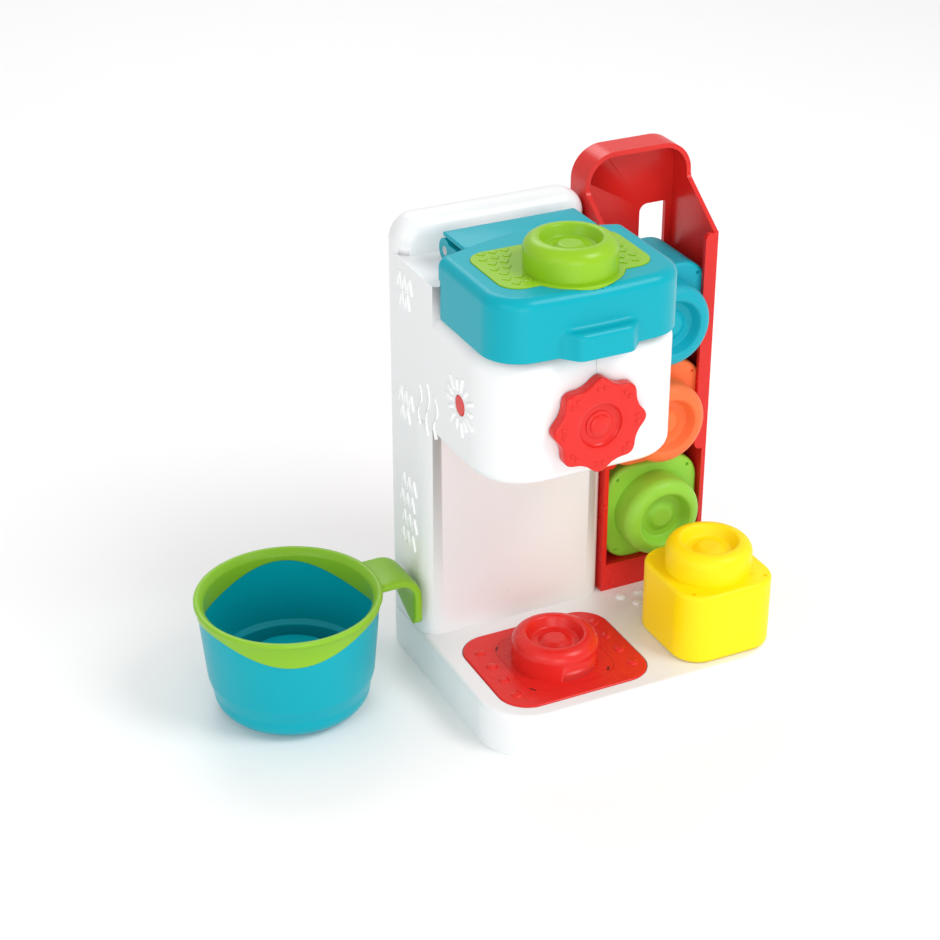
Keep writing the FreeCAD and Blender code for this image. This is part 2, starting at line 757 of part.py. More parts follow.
def build_housing_screws():
    """Screws along X that join the two halves, their heads inside the right half's bosses."""
    pieces = []
    for number, (y, z) in enumerate(seam_screw_places(), start=1):
        head = doc.addObject("Part::Cylinder", f"housing_screw_head{number}")
        head.setExpression("Radius", S.screw_head_radius.text)
        head.setExpression("Height", S.screw_head_height.text)
        shank = doc.addObject("Part::Cylinder", f"housing_screw_shank{number}")
        shank.setExpression("Radius", S.screw_radius.text)
        reach = seat_depth() + S.screw_length - 2.0
        shank.setExpression("Height", (reach + S.screw_head_height / 2).text)
        for piece, start in ((head, SEAM + seat_depth()), (shank, SEAM - S.screw_length + 2.0)):
            piece.Placement = FreeCAD.Placement(FreeCAD.Vector(), FreeCAD.Rotation(FreeCAD.Vector(0, 1, 0), 90))
            piece.setExpression("Placement.Base.x", as_size(start).text)
            piece.setExpression("Placement.Base.y", as_size(y).text)
            piece.setExpression("Placement.Base.z", as_size(z).text)
        screw = doc.addObject("Part::Fuse", f"housing_screw_{number}")
        screw.Base = head
        screw.Tool = shank
        pieces.append(screw)
    group = doc.addObject("Part::Compound", "housing_screws")
    group.Label = "housing_screws"
    group.Links = pieces
    return group


def build_plug(label, side):
    """Red plug in the side of the head, held by a flange inside the wall."""
    body = new_body(label)
    wall = S.housing_wall
    outer = LEFT if side < 0 else COLUMN_RIGHT
    start = outer if side < 0 else outer - wall
    y = FRONT + S.plug_from_front
    round_bar(body, "Pad", "right", start, wall, y, S.plug_height, S.plug_hole_radius - 0.05)
    level = outer.number
    fillet(body, 0.9, lambda e: on_level(e, "x", level))
    start = outer + wall if side < 0 else outer - wall - S.plug_flange
    round_bar(body, "Pad", "right", start, S.plug_flange, y, S.plug_height, S.plug_hole_radius + 1.6)
    return body


def build_bush():
    body = new_body("front_bush")
    outer = S.shaft_radius + S.running_clearance + S.bush_wall
    round_bar(body, "Pad", "back", HEAD_FRONT, S.housing_wall + S.bush_flange_thickness, SEAM, S.axis_height,
              outer)
    round_bar(body, "Pad", "back", HEAD_FRONT + S.housing_wall, S.bush_flange_thickness, SEAM, S.axis_height,
              outer + S.bush_flange)
    round_bar(body, "Pocket", "back", HEAD_FRONT - 1.0, S.housing_wall + S.bush_flange_thickness + 2.0, SEAM,
              S.axis_height, S.shaft_radius + S.running_clearance)
    return body


def build_bearing_plate():
    """Cross wall between head and column that carries the back of the scoop."""
    body = new_body("bearing_plate")
    wall = S.housing_wall
    pad_back(body, BEARING_FRONT, S.bearing_plate_thickness, box_corners(
        LEFT + wall, COLUMN_RIGHT - wall, S.head_bottom + wall, S.head_top - S.head_top_radius))
    round_bar(body, "Pocket", "back", BEARING_FRONT - 1.0, S.bearing_plate_thickness + 2.0, SEAM, S.axis_height,
              S.shaft_radius + S.running_clearance)
    return body


def build_knob():
    """Knob made flat about its own Z axis, its face up, then stood up to face forwards."""
    body = new_body("knob")
    round_bar(body, "Pad", "up", 0, S.knob_thickness, 0, 0, S.knob_radius)
    # One hollow between two lobes, repeated round the axis
    turn = math.pi / SIZES["knob_lobes"]
    reach = S.knob_valley + S.knob_valley_radius
    valley = round_bar(body, "Pocket", "up", 0, S.knob_thickness, reach * math.sin(turn),
                       reach * math.cos(turn), S.knob_valley_radius)
    pattern = body.newObject("PartDesign::PolarPattern", "knob_lobes")
    pattern.Originals = [valley]
    pattern.Axis = (plane(body, "Z_Axis"), [""])
    pattern.Angle = 360
    pattern.setExpression("Occurrences", "Sizes.knob_lobes")
    body.Tip = pattern
    doc.recompute()
    top = S.knob_thickness.number
    outer = S.knob_radius.number

    def lobe_side(edge):
        box = edge.BoundBox
        upright = box.ZLength > top - 0.01 and box.XLength < 0.001 and box.YLength < 0.001
        return upright and math.hypot(box.Center.x, box.Center.y) > outer - 0.1
    fillet(body, S.knob_tip_radius, lobe_side)
    fillet(body, 0.9, lambda e: on_level(e, "z", top))
    round_bar(body, "Pocket", "up", S.knob_thickness - S.knob_dish_depth, S.knob_dish_depth + 1.0, 0, 0,
              S.knob_dish_radius)
    round_bar(body, "Pocket", "up", 0, S.knob_bore_depth, 0, 0, S.shaft_radius + S.pilot_clearance)
    round_bar(body, "Pocket", "up", 0, S.knob_thickness, 0, 0, S.knob_peg_radius + S.pilot_clearance)
    place(body, SEAM, HEAD_FRONT - S.knob_gap, S.axis_height, FORWARDS)
    return body


FORWARDS = FreeCAD.Rotation(FreeCAD.Vector(1, 0, 0), 90)


def build_knob_cap():
    body = new_body("knob_cap")
    round_bar(body, "Pad", "up", 0, S.knob_cap_thickness, 0, 0, S.knob_cap_radius)
    top = S.knob_cap_thickness.number
    fillet(body, 0.7, lambda e: on_level(e, "z", top))
    low = -(S.knob_peg_length)
    round_bar(body, "Pad", "up", low, S.knob_peg_length, 0, 0, S.knob_peg_radius)
    place(body, SEAM, HEAD_FRONT - S.knob_gap - S.knob_thickness + S.knob_dish_depth, S.axis_height, FORWARDS)
    return body


def build_scoop():
    """Open trough with a spindle at each end."""
    body = new_body("dispenser_scoop")
    wall = S.scoop_wall
    half = S.scoop_width / 2
    floor = S.axis_height - S.scoop_depth
    corner = S.scoop_corner_radius
    pad_back(body, SCOOP_FRONT, SCOOP_BACK - SCOOP_FRONT, box_corners(
        SEAM - half - wall, SEAM + half + wall, floor - wall, S.axis_height + S.scoop_lip,
        corner + wall, corner + wall, None, None))
    pocket_back(body, SCOOP_FRONT + wall, S.scoop_length, box_corners(
        SEAM - half, SEAM + half, floor, S.axis_height + S.scoop_lip + 1.0, corner, corner, None, None))
    # End plates reach up round the spindles
    for start in (SCOOP_FRONT, SCOOP_BACK - wall):
        round_bar(body, "Pad", "back", start, wall, SEAM, S.axis_height, S.shaft_radius + 5.0)
    front = HEAD_FRONT - S.knob_gap - S.knob_bore_depth
    round_bar(body, "Pad", "back", front, SCOOP_FRONT - front, SEAM, S.axis_height, S.shaft_radius)
    round_bar(body, "Pad", "back", SCOOP_BACK, S.end_play + S.bearing_plate_thickness + 1.5, SEAM,
              S.axis_height, S.shaft_radius)
    round_bar(body, "Pocket", "back", front, S.knob_peg_length, SEAM, S.axis_height,
              S.knob_peg_radius + S.pilot_clearance)
    return body


def lid_plan(inset, bowed):
    """The lid's outline in plan, set in all round, with the bowed back of its top if asked."""
    x0 = LEFT + S.lid_left_gap + inset
    x1 = COLUMN_RIGHT - S.lid_right_gap - inset
    y0 = HEAD_FRONT - S.lid_front_overhang + S.lid_front_bow + inset
    y1 = STEP - S.lid_step_gap - inset
    front = S.lid_corner_radius - inset
    back = S.lid_back_radius - inset
    corners = [(x0, y0, front), (LID_X, y0 - S.lid_front_bow, 180.0), (x1, y0, front), (x1, y1, back)]
    if bowed:
        corners.append((LID_X, y1 + S.lid_back_bow, 60.0))
    corners.append((x0, y1, back))
    return corners


def build_lid():
    body = new_body("lid")
    low = S.head_top + S.lid_seat_gap
    split = S.lid_top - 10.0
    pad_up(body, split, S.lid_top - split, lid_plan(as_size(0), True))
    top = S.lid_top.number
    fillet(body, S.lid_edge_radius, lambda e: on_level(e, "z", top))
    pad_up(body, low, split - low + 0.5, lid_plan(as_size(0), False))
    # Grip lip at the middle of the front
    y = HEAD_FRONT - S.lid_front_overhang
    pad_up(body, low, S.lip_height, [
        (SEAM - S.lip_front_width / 2, y - S.lip_reach, 5.0), (SEAM + S.lip_front_width / 2, y - S.lip_reach, 5.0),
        (SEAM + S.lip_width / 2, y + 4.0), (SEAM - S.lip_width / 2, y + 4.0)])
    lip_top = (low + S.lip_height).number
    front = y.number
    fillet(body, 2.5, lambda e: on_level(e, "z", lip_top) and e.BoundBox.YMax < front + 1.0)
    # Arms back to the hinge
    for side in (-1, 1):
        middle = SEAM + S.knuckle_spacing / 2 * side
        x0 = middle - S.knuckle_length / 2
        x1 = middle + S.knuckle_length / 2
        round_bar(body, "Pad", "right", x0, S.knuckle_length, HINGE_Y, S.hinge_height, S.knuckle_radius)
        pad_up(body, S.hinge_height - 4.0, 8.0, box_corners(x0, x1, STEP - S.lid_step_gap - 1.5, HINGE_Y))
    pocket_up(body, low, S.lid_top - S.lid_wall - low, lid_plan(S.lid_wall, False))
    round_bar(body, "Pocket", "right", LEFT, S.column_width, HINGE_Y, S.hinge_height, S.pin_radius)
    # Recess for the lime insert
    gap = S.insert_gap
    floor = S.lid_top + S.insert_rise - S.insert_thickness
    pocket_up(body, floor, S.insert_thickness, insert_plan(gap))
    round_bar(body, "Pocket", "up", floor, S.insert_thickness, LID_X, FRONT + S.lid_stud_from_front,
              S.insert_bow_radius + gap)
    return body


def insert_plan(grow):
    radius = S.insert_radius + grow
    return box_corners(LID_X - S.insert_width / 2 - grow, LID_X + S.insert_width / 2 + grow,
                       FRONT + S.insert_front - grow, FRONT + S.insert_back + grow, *(radius,) * 4)


def build_insert():
    """Lime plate made in the frame, with its stud about the body's own Z axis."""
    body = new_body("lid_insert")
    x, y = LID_X, FRONT + S.lid_stud_from_front
    corners = [(c[0] - x, c[1] - y, c[2]) for c in insert_plan(as_size(0))]
    pad_up(body, 0, S.insert_thickness, corners)
    round_bar(body, "Pad", "up", 0, S.insert_thickness, 0, 0, S.insert_bow_radius)
    top = S.insert_thickness.number
    fillet(body, 0.4, lambda e: on_level(e, "z", top))
    add_stud(body, S.insert_thickness - 0.6)
    place(body, x, y, S.lid_top + S.insert_rise - S.insert_thickness)
    return body


def build_pin():
    body = new_body("hinge_pin")
    length = S.knuckle_spacing + S.knuckle_length
    round_bar(body, "Pad", "right", SEAM - length / 2, length, HINGE_Y, S.hinge_height, S.pin_radius)
    return body


def build_chute():
    body = new_body("block_chute")
    wall = S.chute_wall
    inner_left = CHUTE_LEFT + wall
    inner_right = CHUTE_RIGHT - wall
    corner = S.chute_corner_radius
    pad_back(body, CHUTE_FRONT, S.chute_depth, box_corners(
        CHUTE_LEFT, CHUTE_RIGHT, S.tray_height, S.chute_top, None, None, corner, corner))
    pocket_back(body, CHUTE_FRONT, S.chute_depth - wall, box_corners(
        inner_left, inner_right, S.chute_floor, S.chute_top - wall, None, None, corner - wall, corner - wall))
    # Flanges that hold the blocks in, over part of the height
    for x0, x1 in ((CHUTE_LEFT, CHUTE_LEFT + S.flange_reach), (CHUTE_RIGHT - S.flange_reach, CHUTE_RIGHT)):
        radii = (None, 3.0, 3.0, None) if x0 is CHUTE_LEFT else (3.0, None, None, 3.0)
        pad_back(body, CHUTE_FRONT, S.flange_thickness, box_corners(x0, x1, S.flange_end, S.flare_low, *radii))
    # Upper front cut away, down the flare
    back = BACK - S.chute_handle_depth
    pocket_right(body, CHUTE_LEFT, S.chute_width, [
        (CHUTE_FRONT, S.flare_low, 5.0), (back, S.flare_high, 4.0), (back, S.chute_top + 2.0),
        (CHUTE_FRONT - 6.0, S.chute_top + 2.0), (CHUTE_FRONT - 6.0, S.flare_low)])
    # Grip window through the back wall
    x1 = CHUTE_RIGHT - S.window_from_right + S.window_width
    pocket_back(body, BACK - wall - 1.0, wall + 2.0, box_corners(
        CHUTE_RIGHT - S.window_from_right, x1, S.window_bottom, S.window_top,
        S.window_radius, 1.5, 1.5, S.window_radius))
    # Hollow under the floor, with two posts for the screws from below
    pocket_up(body, S.tray_height, S.chute_floor - wall - S.tray_height, box_corners(
        inner_left, inner_right, CHUTE_FRONT + wall, BACK - wall))
    for x, y in chute_screw_places():
        round_bar(body, "Pad", "up", S.tray_height, S.chute_floor - wall - S.tray_height, x, y, S.boss_radius)
        round_bar(body, "Pocket", "up", S.tray_height, S.screw_length - S.tray_wall + 1.0, x, y,
                  S.screw_radius + S.pilot_clearance)
    return body


def build_block(label, x, y, z, rotation=None):
    """Soft block made upright about its own Z axis, its stud up."""
    body = new_body(label)
    half = S.block_side / 2
    pad_up(body, 0, S.block_height, box_corners(-half, half, -half, half, *(S.block_corner_radius,) * 4))
    top = S.block_height.number
    fillet(body, S.block_edge_radius, lambda e: on_level(e, "z", top) or on_level(e, "z", 0.0))
    add_stud(body, S.block_height, S.block_height - 3.0)
    socket = S.stud_radius + S.socket_clearance
    revolve(body, [(0, 0), (socket, 0), (socket, S.stud_height + 0.6, S.stud_edge_radius),
                   (0, S.stud_height + 0.6)], cut=True)
    sketch = new_sketch(body, "XY_Plane", S.block_height - 1.0)
    for a in (-1, 1):
        for b in (-1, 1):
            draw_circle(sketch, S.vent_offset * a, S.vent_offset * b, S.vent_radius)
    extrude(body, "Pocket", sketch, 1.0, True)
    place(body, x, y, z, rotation)
    return body


def build_mug():
    body = new_body("mug_cup")
    wall = S.mug_wall
    mouth = S.mug_mouth_radius
    band_low = S.mug_height - S.rim_band - S.rim_bead
    top = S.mug_height - S.rim_bead
    hub = S.mug_hub_radius
    revolve(body, [
        (0, 0), (S.mug_base_radius, 0, 1.5), (S.mug_foot_radius, 5.5, 8.0),
        (S.mug_foot_radius + 0.5, S.mug_foot_height, 3.0),
        (S.mug_waist_radius, S.mug_waist_height, 4.0), (mouth, band_low), (mouth, top),
        (mouth - wall, top), (mouth - wall, band_low), (S.mug_waist_radius - wall, S.mug_waist_height + 2.0, 1.0),
        (S.mug_foot_radius - wall, S.mug_waist_height + 0.5, 1.0), (S.mug_foot_radius - wall, 8.0, 2.0),
        (S.mug_base_radius - 1.0, 3.0, 2.0), (hub, 3.0, 1.0), (hub, S.mug_hub_height, 2.0),
        (0, S.mug_hub_height)])
    socket = S.stud_radius + S.socket_clearance
    revolve(body, [(0, 0), (socket, 0), (socket, S.mug_hub_height - wall, 2.0),
                   (0, S.mug_hub_height - wall)], cut=True)
    place(body, MUG_X, MUG_Y, 0)
    return body


def build_rim():
    """Green rim clipped over the cup's wall, with the hook handle."""
    body = new_body("mug_rim")
    wall = S.rim_wall
    mouth = S.mug_mouth_radius
    low = S.mug_height - S.rim_band - S.rim_bead
    revolve(body, [
        (mouth - S.mug_wall - wall, low), (mouth + wall, low), (mouth + wall, S.mug_height - 2.6, 0.8),
        (S.mug_rim_radius, S.mug_height - 2.2, 0.8), (S.mug_rim_radius, S.mug_height, 0.9),
        (mouth - S.mug_wall - wall, S.mug_height, 0.9)])
    half = S.handle_width / 2
    root = mouth - S.mug_wall - wall / 2
    reach = S.handle_reach
    thick = S.handle_thickness
    top = S.mug_height - S.handle_drop
    bend = S.handle_bend
    pad_back(body, -half, S.handle_width, [
        (root, top - thick), (reach - thick, top - thick, bend - thick),
        (reach - thick, S.handle_bottom), (reach, S.handle_bottom), (reach, top, bend), (root, top)])
    bottom = S.handle_bottom.number
    width = half.number
    fillet(body, 3.5, lambda e: on_level(e, "z", bottom)
           and (on_level(e, "y", width) or on_level(e, "y", -width)))
    revolve(body, [(mouth - S.mug_wall, low - 2.0), (mouth, low - 2.0), (mouth, S.mug_height - S.rim_bead),
                   (mouth - S.mug_wall, S.mug_height - S.rim_bead)], cut=True)
    place(body, MUG_X, MUG_Y, 0, FreeCAD.Rotation(FreeCAD.Vector(0, 0, 1), SIZES["handle_turn"]))
    return body


MUG_X = LEFT - S.mug_from_left
MUG_Y = FRONT + S.mug_from_front
BLOCK_X = CHUTE_LEFT + S.chute_width / 2
BLOCK_Y = BACK - S.chute_wall - S.block_play

build_tray()
build_cover()
screw_group("cover_screws", cover_screw_places(), S.screw_head_height + 0.2)
screw_group("stand_screws", column_screw_places() + chute_screw_places(), S.tray_height - S.tray_wall)
build_plate()
build_plate_stud()
build_housing("housing_left", -1)
build_housing("housing_right", 1)
build_housing_screws()
build_plug("side_plug_left", -1)
build_plug("side_plug_right", 1)
build_bush()
build_bearing_plate()
build_scoop()
build_knob()
build_knob_cap()
build_lid()
build_insert()
build_pin()
build_chute()
build_block("block_yellow", RIGHT - S.yellow_from_right, FRONT + S.yellow_from_front, S.tray_height)
for step, colour in enumerate(("green", "orange", "teal")):
    build_block(f"block_{colour}", BLOCK_X, BLOCK_Y, S.chute_floor + S.block_side * (step + 0.5), FORWARDS)
build_mug()
build_rim()
doc.recompute()

NODES = [
    "base_tray", "bottom_cover", "cover_screws", "stand_screws", "cup_plate", "cup_stud", "housing_left",
    "housing_right", "housing_screws", "side_plug_left", "side_plug_right", "front_bush", "bearing_plate",
    "dispenser_scoop", "knob", "knob_cap", "lid", "lid_insert", "hinge_pin", "block_chute", "block_yellow",
    "block_green", "block_orange", "block_teal", "mug_cup", "mug_rim",
]

problems = []
for item in doc.Objects:
    if "Invalid" in item.State or "Error" in item.State:
        problems.append(f"{item.Label}: {item.getStatusString()}")
os.makedirs("parts", exist_ok=True)
for node in NODES:
    found = [item for item in doc.Objects if item.Label == node]
    if len(found) != 1:
        problems.append(f"{node}: {len(found)} objects have this label")
        continue
    shape = found[0].Shape
    if shape.isNull() or not shape.isValid() or not shape.Solids:
        problems.append(f"{node}: its shape is not a valid solid")
        continue
    shape.exportStep(f"parts/{node}.step")
    box = shape.BoundBox
    print(f"{node}: {len(shape.Solids)} solid, {shape.Volume:.0f} mm3, x {box.XMin:.1f}..{box.XMax:.1f}, "
          f"y {box.YMin:.1f}..{box.YMax:.1f}, z {box.ZMin:.1f}..{box.ZMax:.1f}")
if problems:
    raise RuntimeError("; ".join(problems))
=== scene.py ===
"""Looks for a toy coffee maker with a lid, a turning dispenser, a block chute, soft blocks and a mug.

Run as a script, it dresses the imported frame. Lengths in the settings are in metres, and the numbers beside
them in the functions are in millimetres, times MM.
"""
import math

import bmesh
import bpy
from mathutils import Matrix, Vector


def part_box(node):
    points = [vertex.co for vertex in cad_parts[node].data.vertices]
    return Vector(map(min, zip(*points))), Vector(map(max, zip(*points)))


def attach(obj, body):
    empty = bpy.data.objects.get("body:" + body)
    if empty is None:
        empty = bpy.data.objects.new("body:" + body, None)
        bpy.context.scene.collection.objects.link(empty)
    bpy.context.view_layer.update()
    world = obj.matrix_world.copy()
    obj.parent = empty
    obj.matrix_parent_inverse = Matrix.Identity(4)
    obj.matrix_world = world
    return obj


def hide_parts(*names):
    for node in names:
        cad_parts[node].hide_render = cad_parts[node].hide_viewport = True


bl_info = {
    "name": "Toy coffee maker",
    "version": (1, 0, 0),
    "blender": (4, 5, 0),
    "location": "3D View > Sidebar > Coffee Maker",
    "description": "Builds the visible pieces of a toy coffee maker around its packed frame",
    "category": "Add Mesh",
}

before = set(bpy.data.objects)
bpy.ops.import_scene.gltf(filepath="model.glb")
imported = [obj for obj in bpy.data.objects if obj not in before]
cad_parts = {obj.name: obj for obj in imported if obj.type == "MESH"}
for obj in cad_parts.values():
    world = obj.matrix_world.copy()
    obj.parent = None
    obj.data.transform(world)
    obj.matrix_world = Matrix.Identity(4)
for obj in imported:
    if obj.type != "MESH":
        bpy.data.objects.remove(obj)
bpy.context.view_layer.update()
MM = 0.001

# Places on the machine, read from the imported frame
KNOB_LOW, KNOB_HIGH = (Vector(c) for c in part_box("knob"))
CUP_LOW, CUP_HIGH = (Vector(c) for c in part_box("mug_cup"))
STUD_LOW, STUD_HIGH = (Vector(c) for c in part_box("cup_stud"))
PLUG_LOW, PLUG_HIGH = (Vector(c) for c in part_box("side_plug_left"))
INSERT_LOW, INSERT_HIGH = (Vector(c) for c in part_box("lid_insert"))
PIN_LOW, PIN_HIGH = (Vector(c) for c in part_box("hinge_pin"))
LEFT_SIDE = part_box("base_tray")[0][0]
KNOB_CENTRE = (KNOB_LOW + KNOB_HIGH) / 2
KNOB_THICKNESS = KNOB_HIGH.y - KNOB_LOW.y
KNOB_DISH_DEPTH = 1.9 * MM
KNOB_LOBES = 8
SEAM = KNOB_CENTRE.x


def colour_setting(name, about, value):
    return bpy.props.FloatVectorProperty(name=name, description=about, subtype="COLOR", size=4, min=0.0,
                                         max=1.0, default=(*value, 1.0))


def length_setting(name, about, value):
    return bpy.props.FloatProperty(name=name, description=about, unit="LENGTH", min=0.0, default=value)


class CoffeeMakerColours(bpy.types.PropertyGroup):
    """Colours of the moulded pieces."""

    white: colour_setting("White", "Tray and housing", (0.83, 0.84, 0.845))
    teal: colour_setting("Teal", "Lid and mug", (0.0, 0.375, 0.46))
    lime: colour_setting("Lime", "Insert of the lid", (0.27, 0.52, 0.012))
    red: colour_setting("Red", "Chute, knob and plate", (0.71, 0.02, 0.015))
    green: colour_setting("Green", "Rim and handle of the mug", (0.238, 0.50, 0.019))
    block_yellow: colour_setting("Yellow block", "Block on the tray", (1.0, 0.76, 0.0))
    block_green: colour_setting("Green block", "Lowest block in the chute", (0.285, 0.62, 0.05))
    block_orange: colour_setting("Orange block", "Middle block in the chute", (0.90, 0.18, 0.05))
    block_teal: colour_setting("Teal block", "Top block in the chute", (0.0, 0.385, 0.49))
    natural: colour_setting("Natural", "Bearings inside the head", (0.62, 0.61, 0.58))
    steel: colour_setting("Steel", "Screws and hinge pin", (0.56, 0.56, 0.57))
    # Slots: painted shade, a dark red for the strips laid where the plate's slots are
    slot: colour_setting("Slots", "Narrow slots in the plate", (0.16, 0.008, 0.008))
    # Raised marks: painted highlight, the housing's white plastic made lighter so that the strokes stand out
    # as if lit
    raised: colour_setting("Raised marks", "Raised marks on the left side", (0.96, 0.97, 0.97))
    # Seam: painted shade, a grey that stands in for the shade in the join between the halves
    seam: colour_setting("Seam", "Hairline between the housing's halves", (0.5, 0.51, 0.52))
    floor: colour_setting("Floor", "Plain floor", (0.93, 0.93, 0.93))


class CoffeeMakerSizes(bpy.types.PropertyGroup):
    """Sizes of the details that a user might change."""

    relief: length_setting("Relief", "Height of the raised strokes", 0.8 * MM)
    stroke: length_setting("Stroke", "Width of a raised stroke", 1.7 * MM)
    knob_tip: length_setting("Knob tip", "Radius of the knob at a lobe's tip", 21.7 * MM)
    knob_valley: length_setting("Knob valley", "Radius of the knob between two lobes", 19.0 * MM)
    rim_narrow: length_setting("Rim at its narrowest", "Height of the mug's band at a crest", 5.5 * MM)
    rim_waves: bpy.props.IntProperty(name="Rim waves", description="Waves round the mug's band", min=1,
                                     default=3)


def colours():
    return bpy.context.scene.coffee_maker_colours


def sizes():
    return bpy.context.scene.coffee_maker_sizes


# Camera that matches the photograph, and the lamps: name, place, size in metres and power in watts
CAMERA_PLACE = (-0.4084, -0.7224, 0.5536)
CAMERA_AIM = (0.3815, 0.7903, -0.4796)
CAMERA_LENS = 80.83
LAMPS = (
    ("Key", (0.7, -0.9, 1.4), 0.8, 12.0),
    ("Fill", (-1.2, -0.7, 0.7), 0.9, 3.0),
    ("Back", (0.2, 1.2, 1.3), 0.9, 6.0),
    ("Bay", (-0.25, -0.8, 0.22), 0.5, 1.6),
)
LAMP_TARGET = (-0.04, 0.0, 0.1)


# How far the gloss strays from its value, and how deep the grain is
GLOSS_SPREAD = 0.12
BUMP_DISTANCE = 0.2 * MM


# Finishes
def moulded_surface_group():
    """Shared surface of moulded plastic: faint shade changes, uneven gloss and a fine grain."""
    name = "Moulded surface"
    if name in bpy.data.node_groups:
        return bpy.data.node_groups[name]
    group = bpy.data.node_groups.new(name, "ShaderNodeTree")
    face = group.interface
    face.new_socket("Colour", in_out="INPUT", socket_type="NodeSocketColor")
    for label, value in (("Gloss spread", 0.05), ("Roughness", 0.3), ("Grain scale", 900.0),
                         ("Grain height", 0.02), ("Shade change", 0.04)):
        socket = face.new_socket(label, in_out="INPUT", socket_type="NodeSocketFloat")
        socket.default_value = value
    face.new_socket("Colour", in_out="OUTPUT", socket_type="NodeSocketColor")
    face.new_socket("Roughness", in_out="OUTPUT", socket_type="NodeSocketFloat")
    face.new_socket("Normal", in_out="OUTPUT", socket_type="NodeSocketVector")
    nodes, links = group.nodes, group.links
    start = nodes.new("NodeGroupInput")
    end = nodes.new("NodeGroupOutput")
    place = nodes.new("ShaderNodeTexCoord")
    cloud = nodes.new("ShaderNodeTexNoise")
    cloud.inputs["Scale"].default_value = 28.0
    cloud.inputs["Detail"].default_value = 4.0
    grain = nodes.new("ShaderNodeTexNoise")
    grain.inputs["Detail"].default_value = 2.0
    links.new(place.outputs["Object"], cloud.inputs["Vector"])
    links.new(place.outputs["Object"], grain.inputs["Vector"])
    links.new(start.outputs["Grain scale"], grain.inputs["Scale"])
    # Shade: the colour times one plus or minus the change
    centred = nodes.new("ShaderNodeMath")
    centred.operation = "SUBTRACT"
    centred.inputs[1].default_value = 0.5
    links.new(cloud.outputs["Fac"], centred.inputs[0])
    shade = nodes.new("ShaderNodeMath")
    shade.operation = "MULTIPLY_ADD"
    shade.inputs[2].default_value = 1.0
    links.new(centred.outputs[0], shade.inputs[0])
    links.new(start.outputs["Shade change"], shade.inputs[1])
    tint = nodes.new("ShaderNodeVectorMath")
    tint.operation = "SCALE"
    links.new(start.outputs["Colour"], tint.inputs[0])
    links.new(shade.outputs[0], tint.inputs["Scale"])
    links.new(tint.outputs[0], end.inputs["Colour"])
    rough = nodes.new("ShaderNodeMath")
    rough.operation = "MULTIPLY_ADD"
    links.new(centred.outputs[0], rough.inputs[0])
    links.new(start.outputs["Gloss spread"], rough.inputs[1])
    links.new(start.outputs["Roughness"], rough.inputs[2])
    links.new(rough.outputs[0], end.inputs["Roughness"])
    bump = nodes.new("ShaderNodeBump")
    bump.inputs["Distance"].default_value = BUMP_DISTANCE
    links.new(start.outputs["Grain height"], bump.inputs["Strength"])
    links.new(grain.outputs["Fac"], bump.inputs["Height"])
    links.new(bump.outputs["Normal"], end.inputs["Normal"])
    return group


def make_finish(name, colour, roughness, coat=0.0, grain=0.04, scale=900.0, change=0.05, soft=0.0, metal=0.0,
                gloss=0.3):
    """A material with the shared moulded surface, and its constants on the shader itself."""
    if name in bpy.data.materials:
        return bpy.data.materials[name]
    material = bpy.data.materials.new(name)
    material.use_nodes = True
    material.diffuse_color = (*colour[:3], 1.0)
    nodes, links = material.node_tree.nodes, material.node_tree.links
    shader = nodes["Principled BSDF"]
    surface = nodes.new("ShaderNodeGroup")
    surface.node_tree = moulded_surface_group()
    surface.inputs["Colour"].default_value = (*colour[:3], 1.0)
    surface.inputs["Roughness"].default_value = roughness
    surface.inputs["Gloss spread"].default_value = GLOSS_SPREAD
    surface.inputs["Grain scale"].default_value = scale
    surface.inputs["Grain height"].default_value = grain
    surface.inputs["Shade change"].default_value = change
    links.new(surface.outputs["Colour"], shader.inputs["Base Color"])
    links.new(surface.outputs["Roughness"], shader.inputs["Roughness"])
    links.new(surface.outputs["Normal"], shader.inputs["Normal"])
    shader.inputs["IOR"].default_value = 1.5
    shader.inputs["Specular IOR Level"].default_value = gloss
    shader.inputs["Metallic"].default_value = metal
    shader.inputs["Coat Weight"].default_value = coat
    shader.inputs["Coat Roughness"].default_value = 0.18
    if soft:
        shader.inputs["Subsurface Weight"].default_value = soft
        shader.inputs["Subsurface Radius"].default_value = (0.004, 0.003, 0.002)
        shader.inputs["Subsurface Scale"].default_value = 1.0
    return material


def finish(name):
    """The finish of that name, built the first time that it's asked for."""
    c = colours()
    block = {"grain": 0.08, "scale": 700.0, "soft": 0.05}
    table = {
        "White plastic": (c.white, 0.30, {"coat": 0.15, "soft": 0.06, "change": 0.02, "gloss": 0.45}),
        "Teal plastic": (c.teal, 0.3, {"gloss": 0.2}),
        "Lime plastic": (c.lime, 0.30, {"coat": 0.06, "soft": 0.05}),
        "Red plastic": (c.red, 0.28, {"coat": 0.06}),
        "Green plastic": (c.green, 0.32, {"coat": 0.04}),
        "Yellow soft block": (c.block_yellow, 0.45, block),
        "Green soft block": (c.block_green, 0.42, block),
        "Orange soft block": (c.block_orange, 0.48, block),
        "Teal soft block": (c.block_teal, 0.48, block),
        "Natural plastic": (c.natural, 0.5, {}),
        "Zinc plated steel": (c.steel, 0.32, {"metal": 1.0, "grain": 0.1, "scale": 2500.0}),
        # Painted shade: the dark colour of the strips at the plate's slots
        "Painted slot shade": (c.slot, 0.6, {}),
        # Painted highlight: the raised strokes' white, lighter than the housing's own
        "Raised white with painted highlight": (c.raised, 0.25, {"coat": 0.2, "change": 0.01, "gloss": 0.5}),
        # Painted shade: the grey of the seam's hairline
        "Painted seam shade": (c.seam, 0.5, {}),
        "Pale floor": (c.floor, 0.75, {"grain": 0.0, "change": 0.01}),
    }
    colour, roughness, surface = table[name]
    return make_finish(name, colour, roughness, **surface)


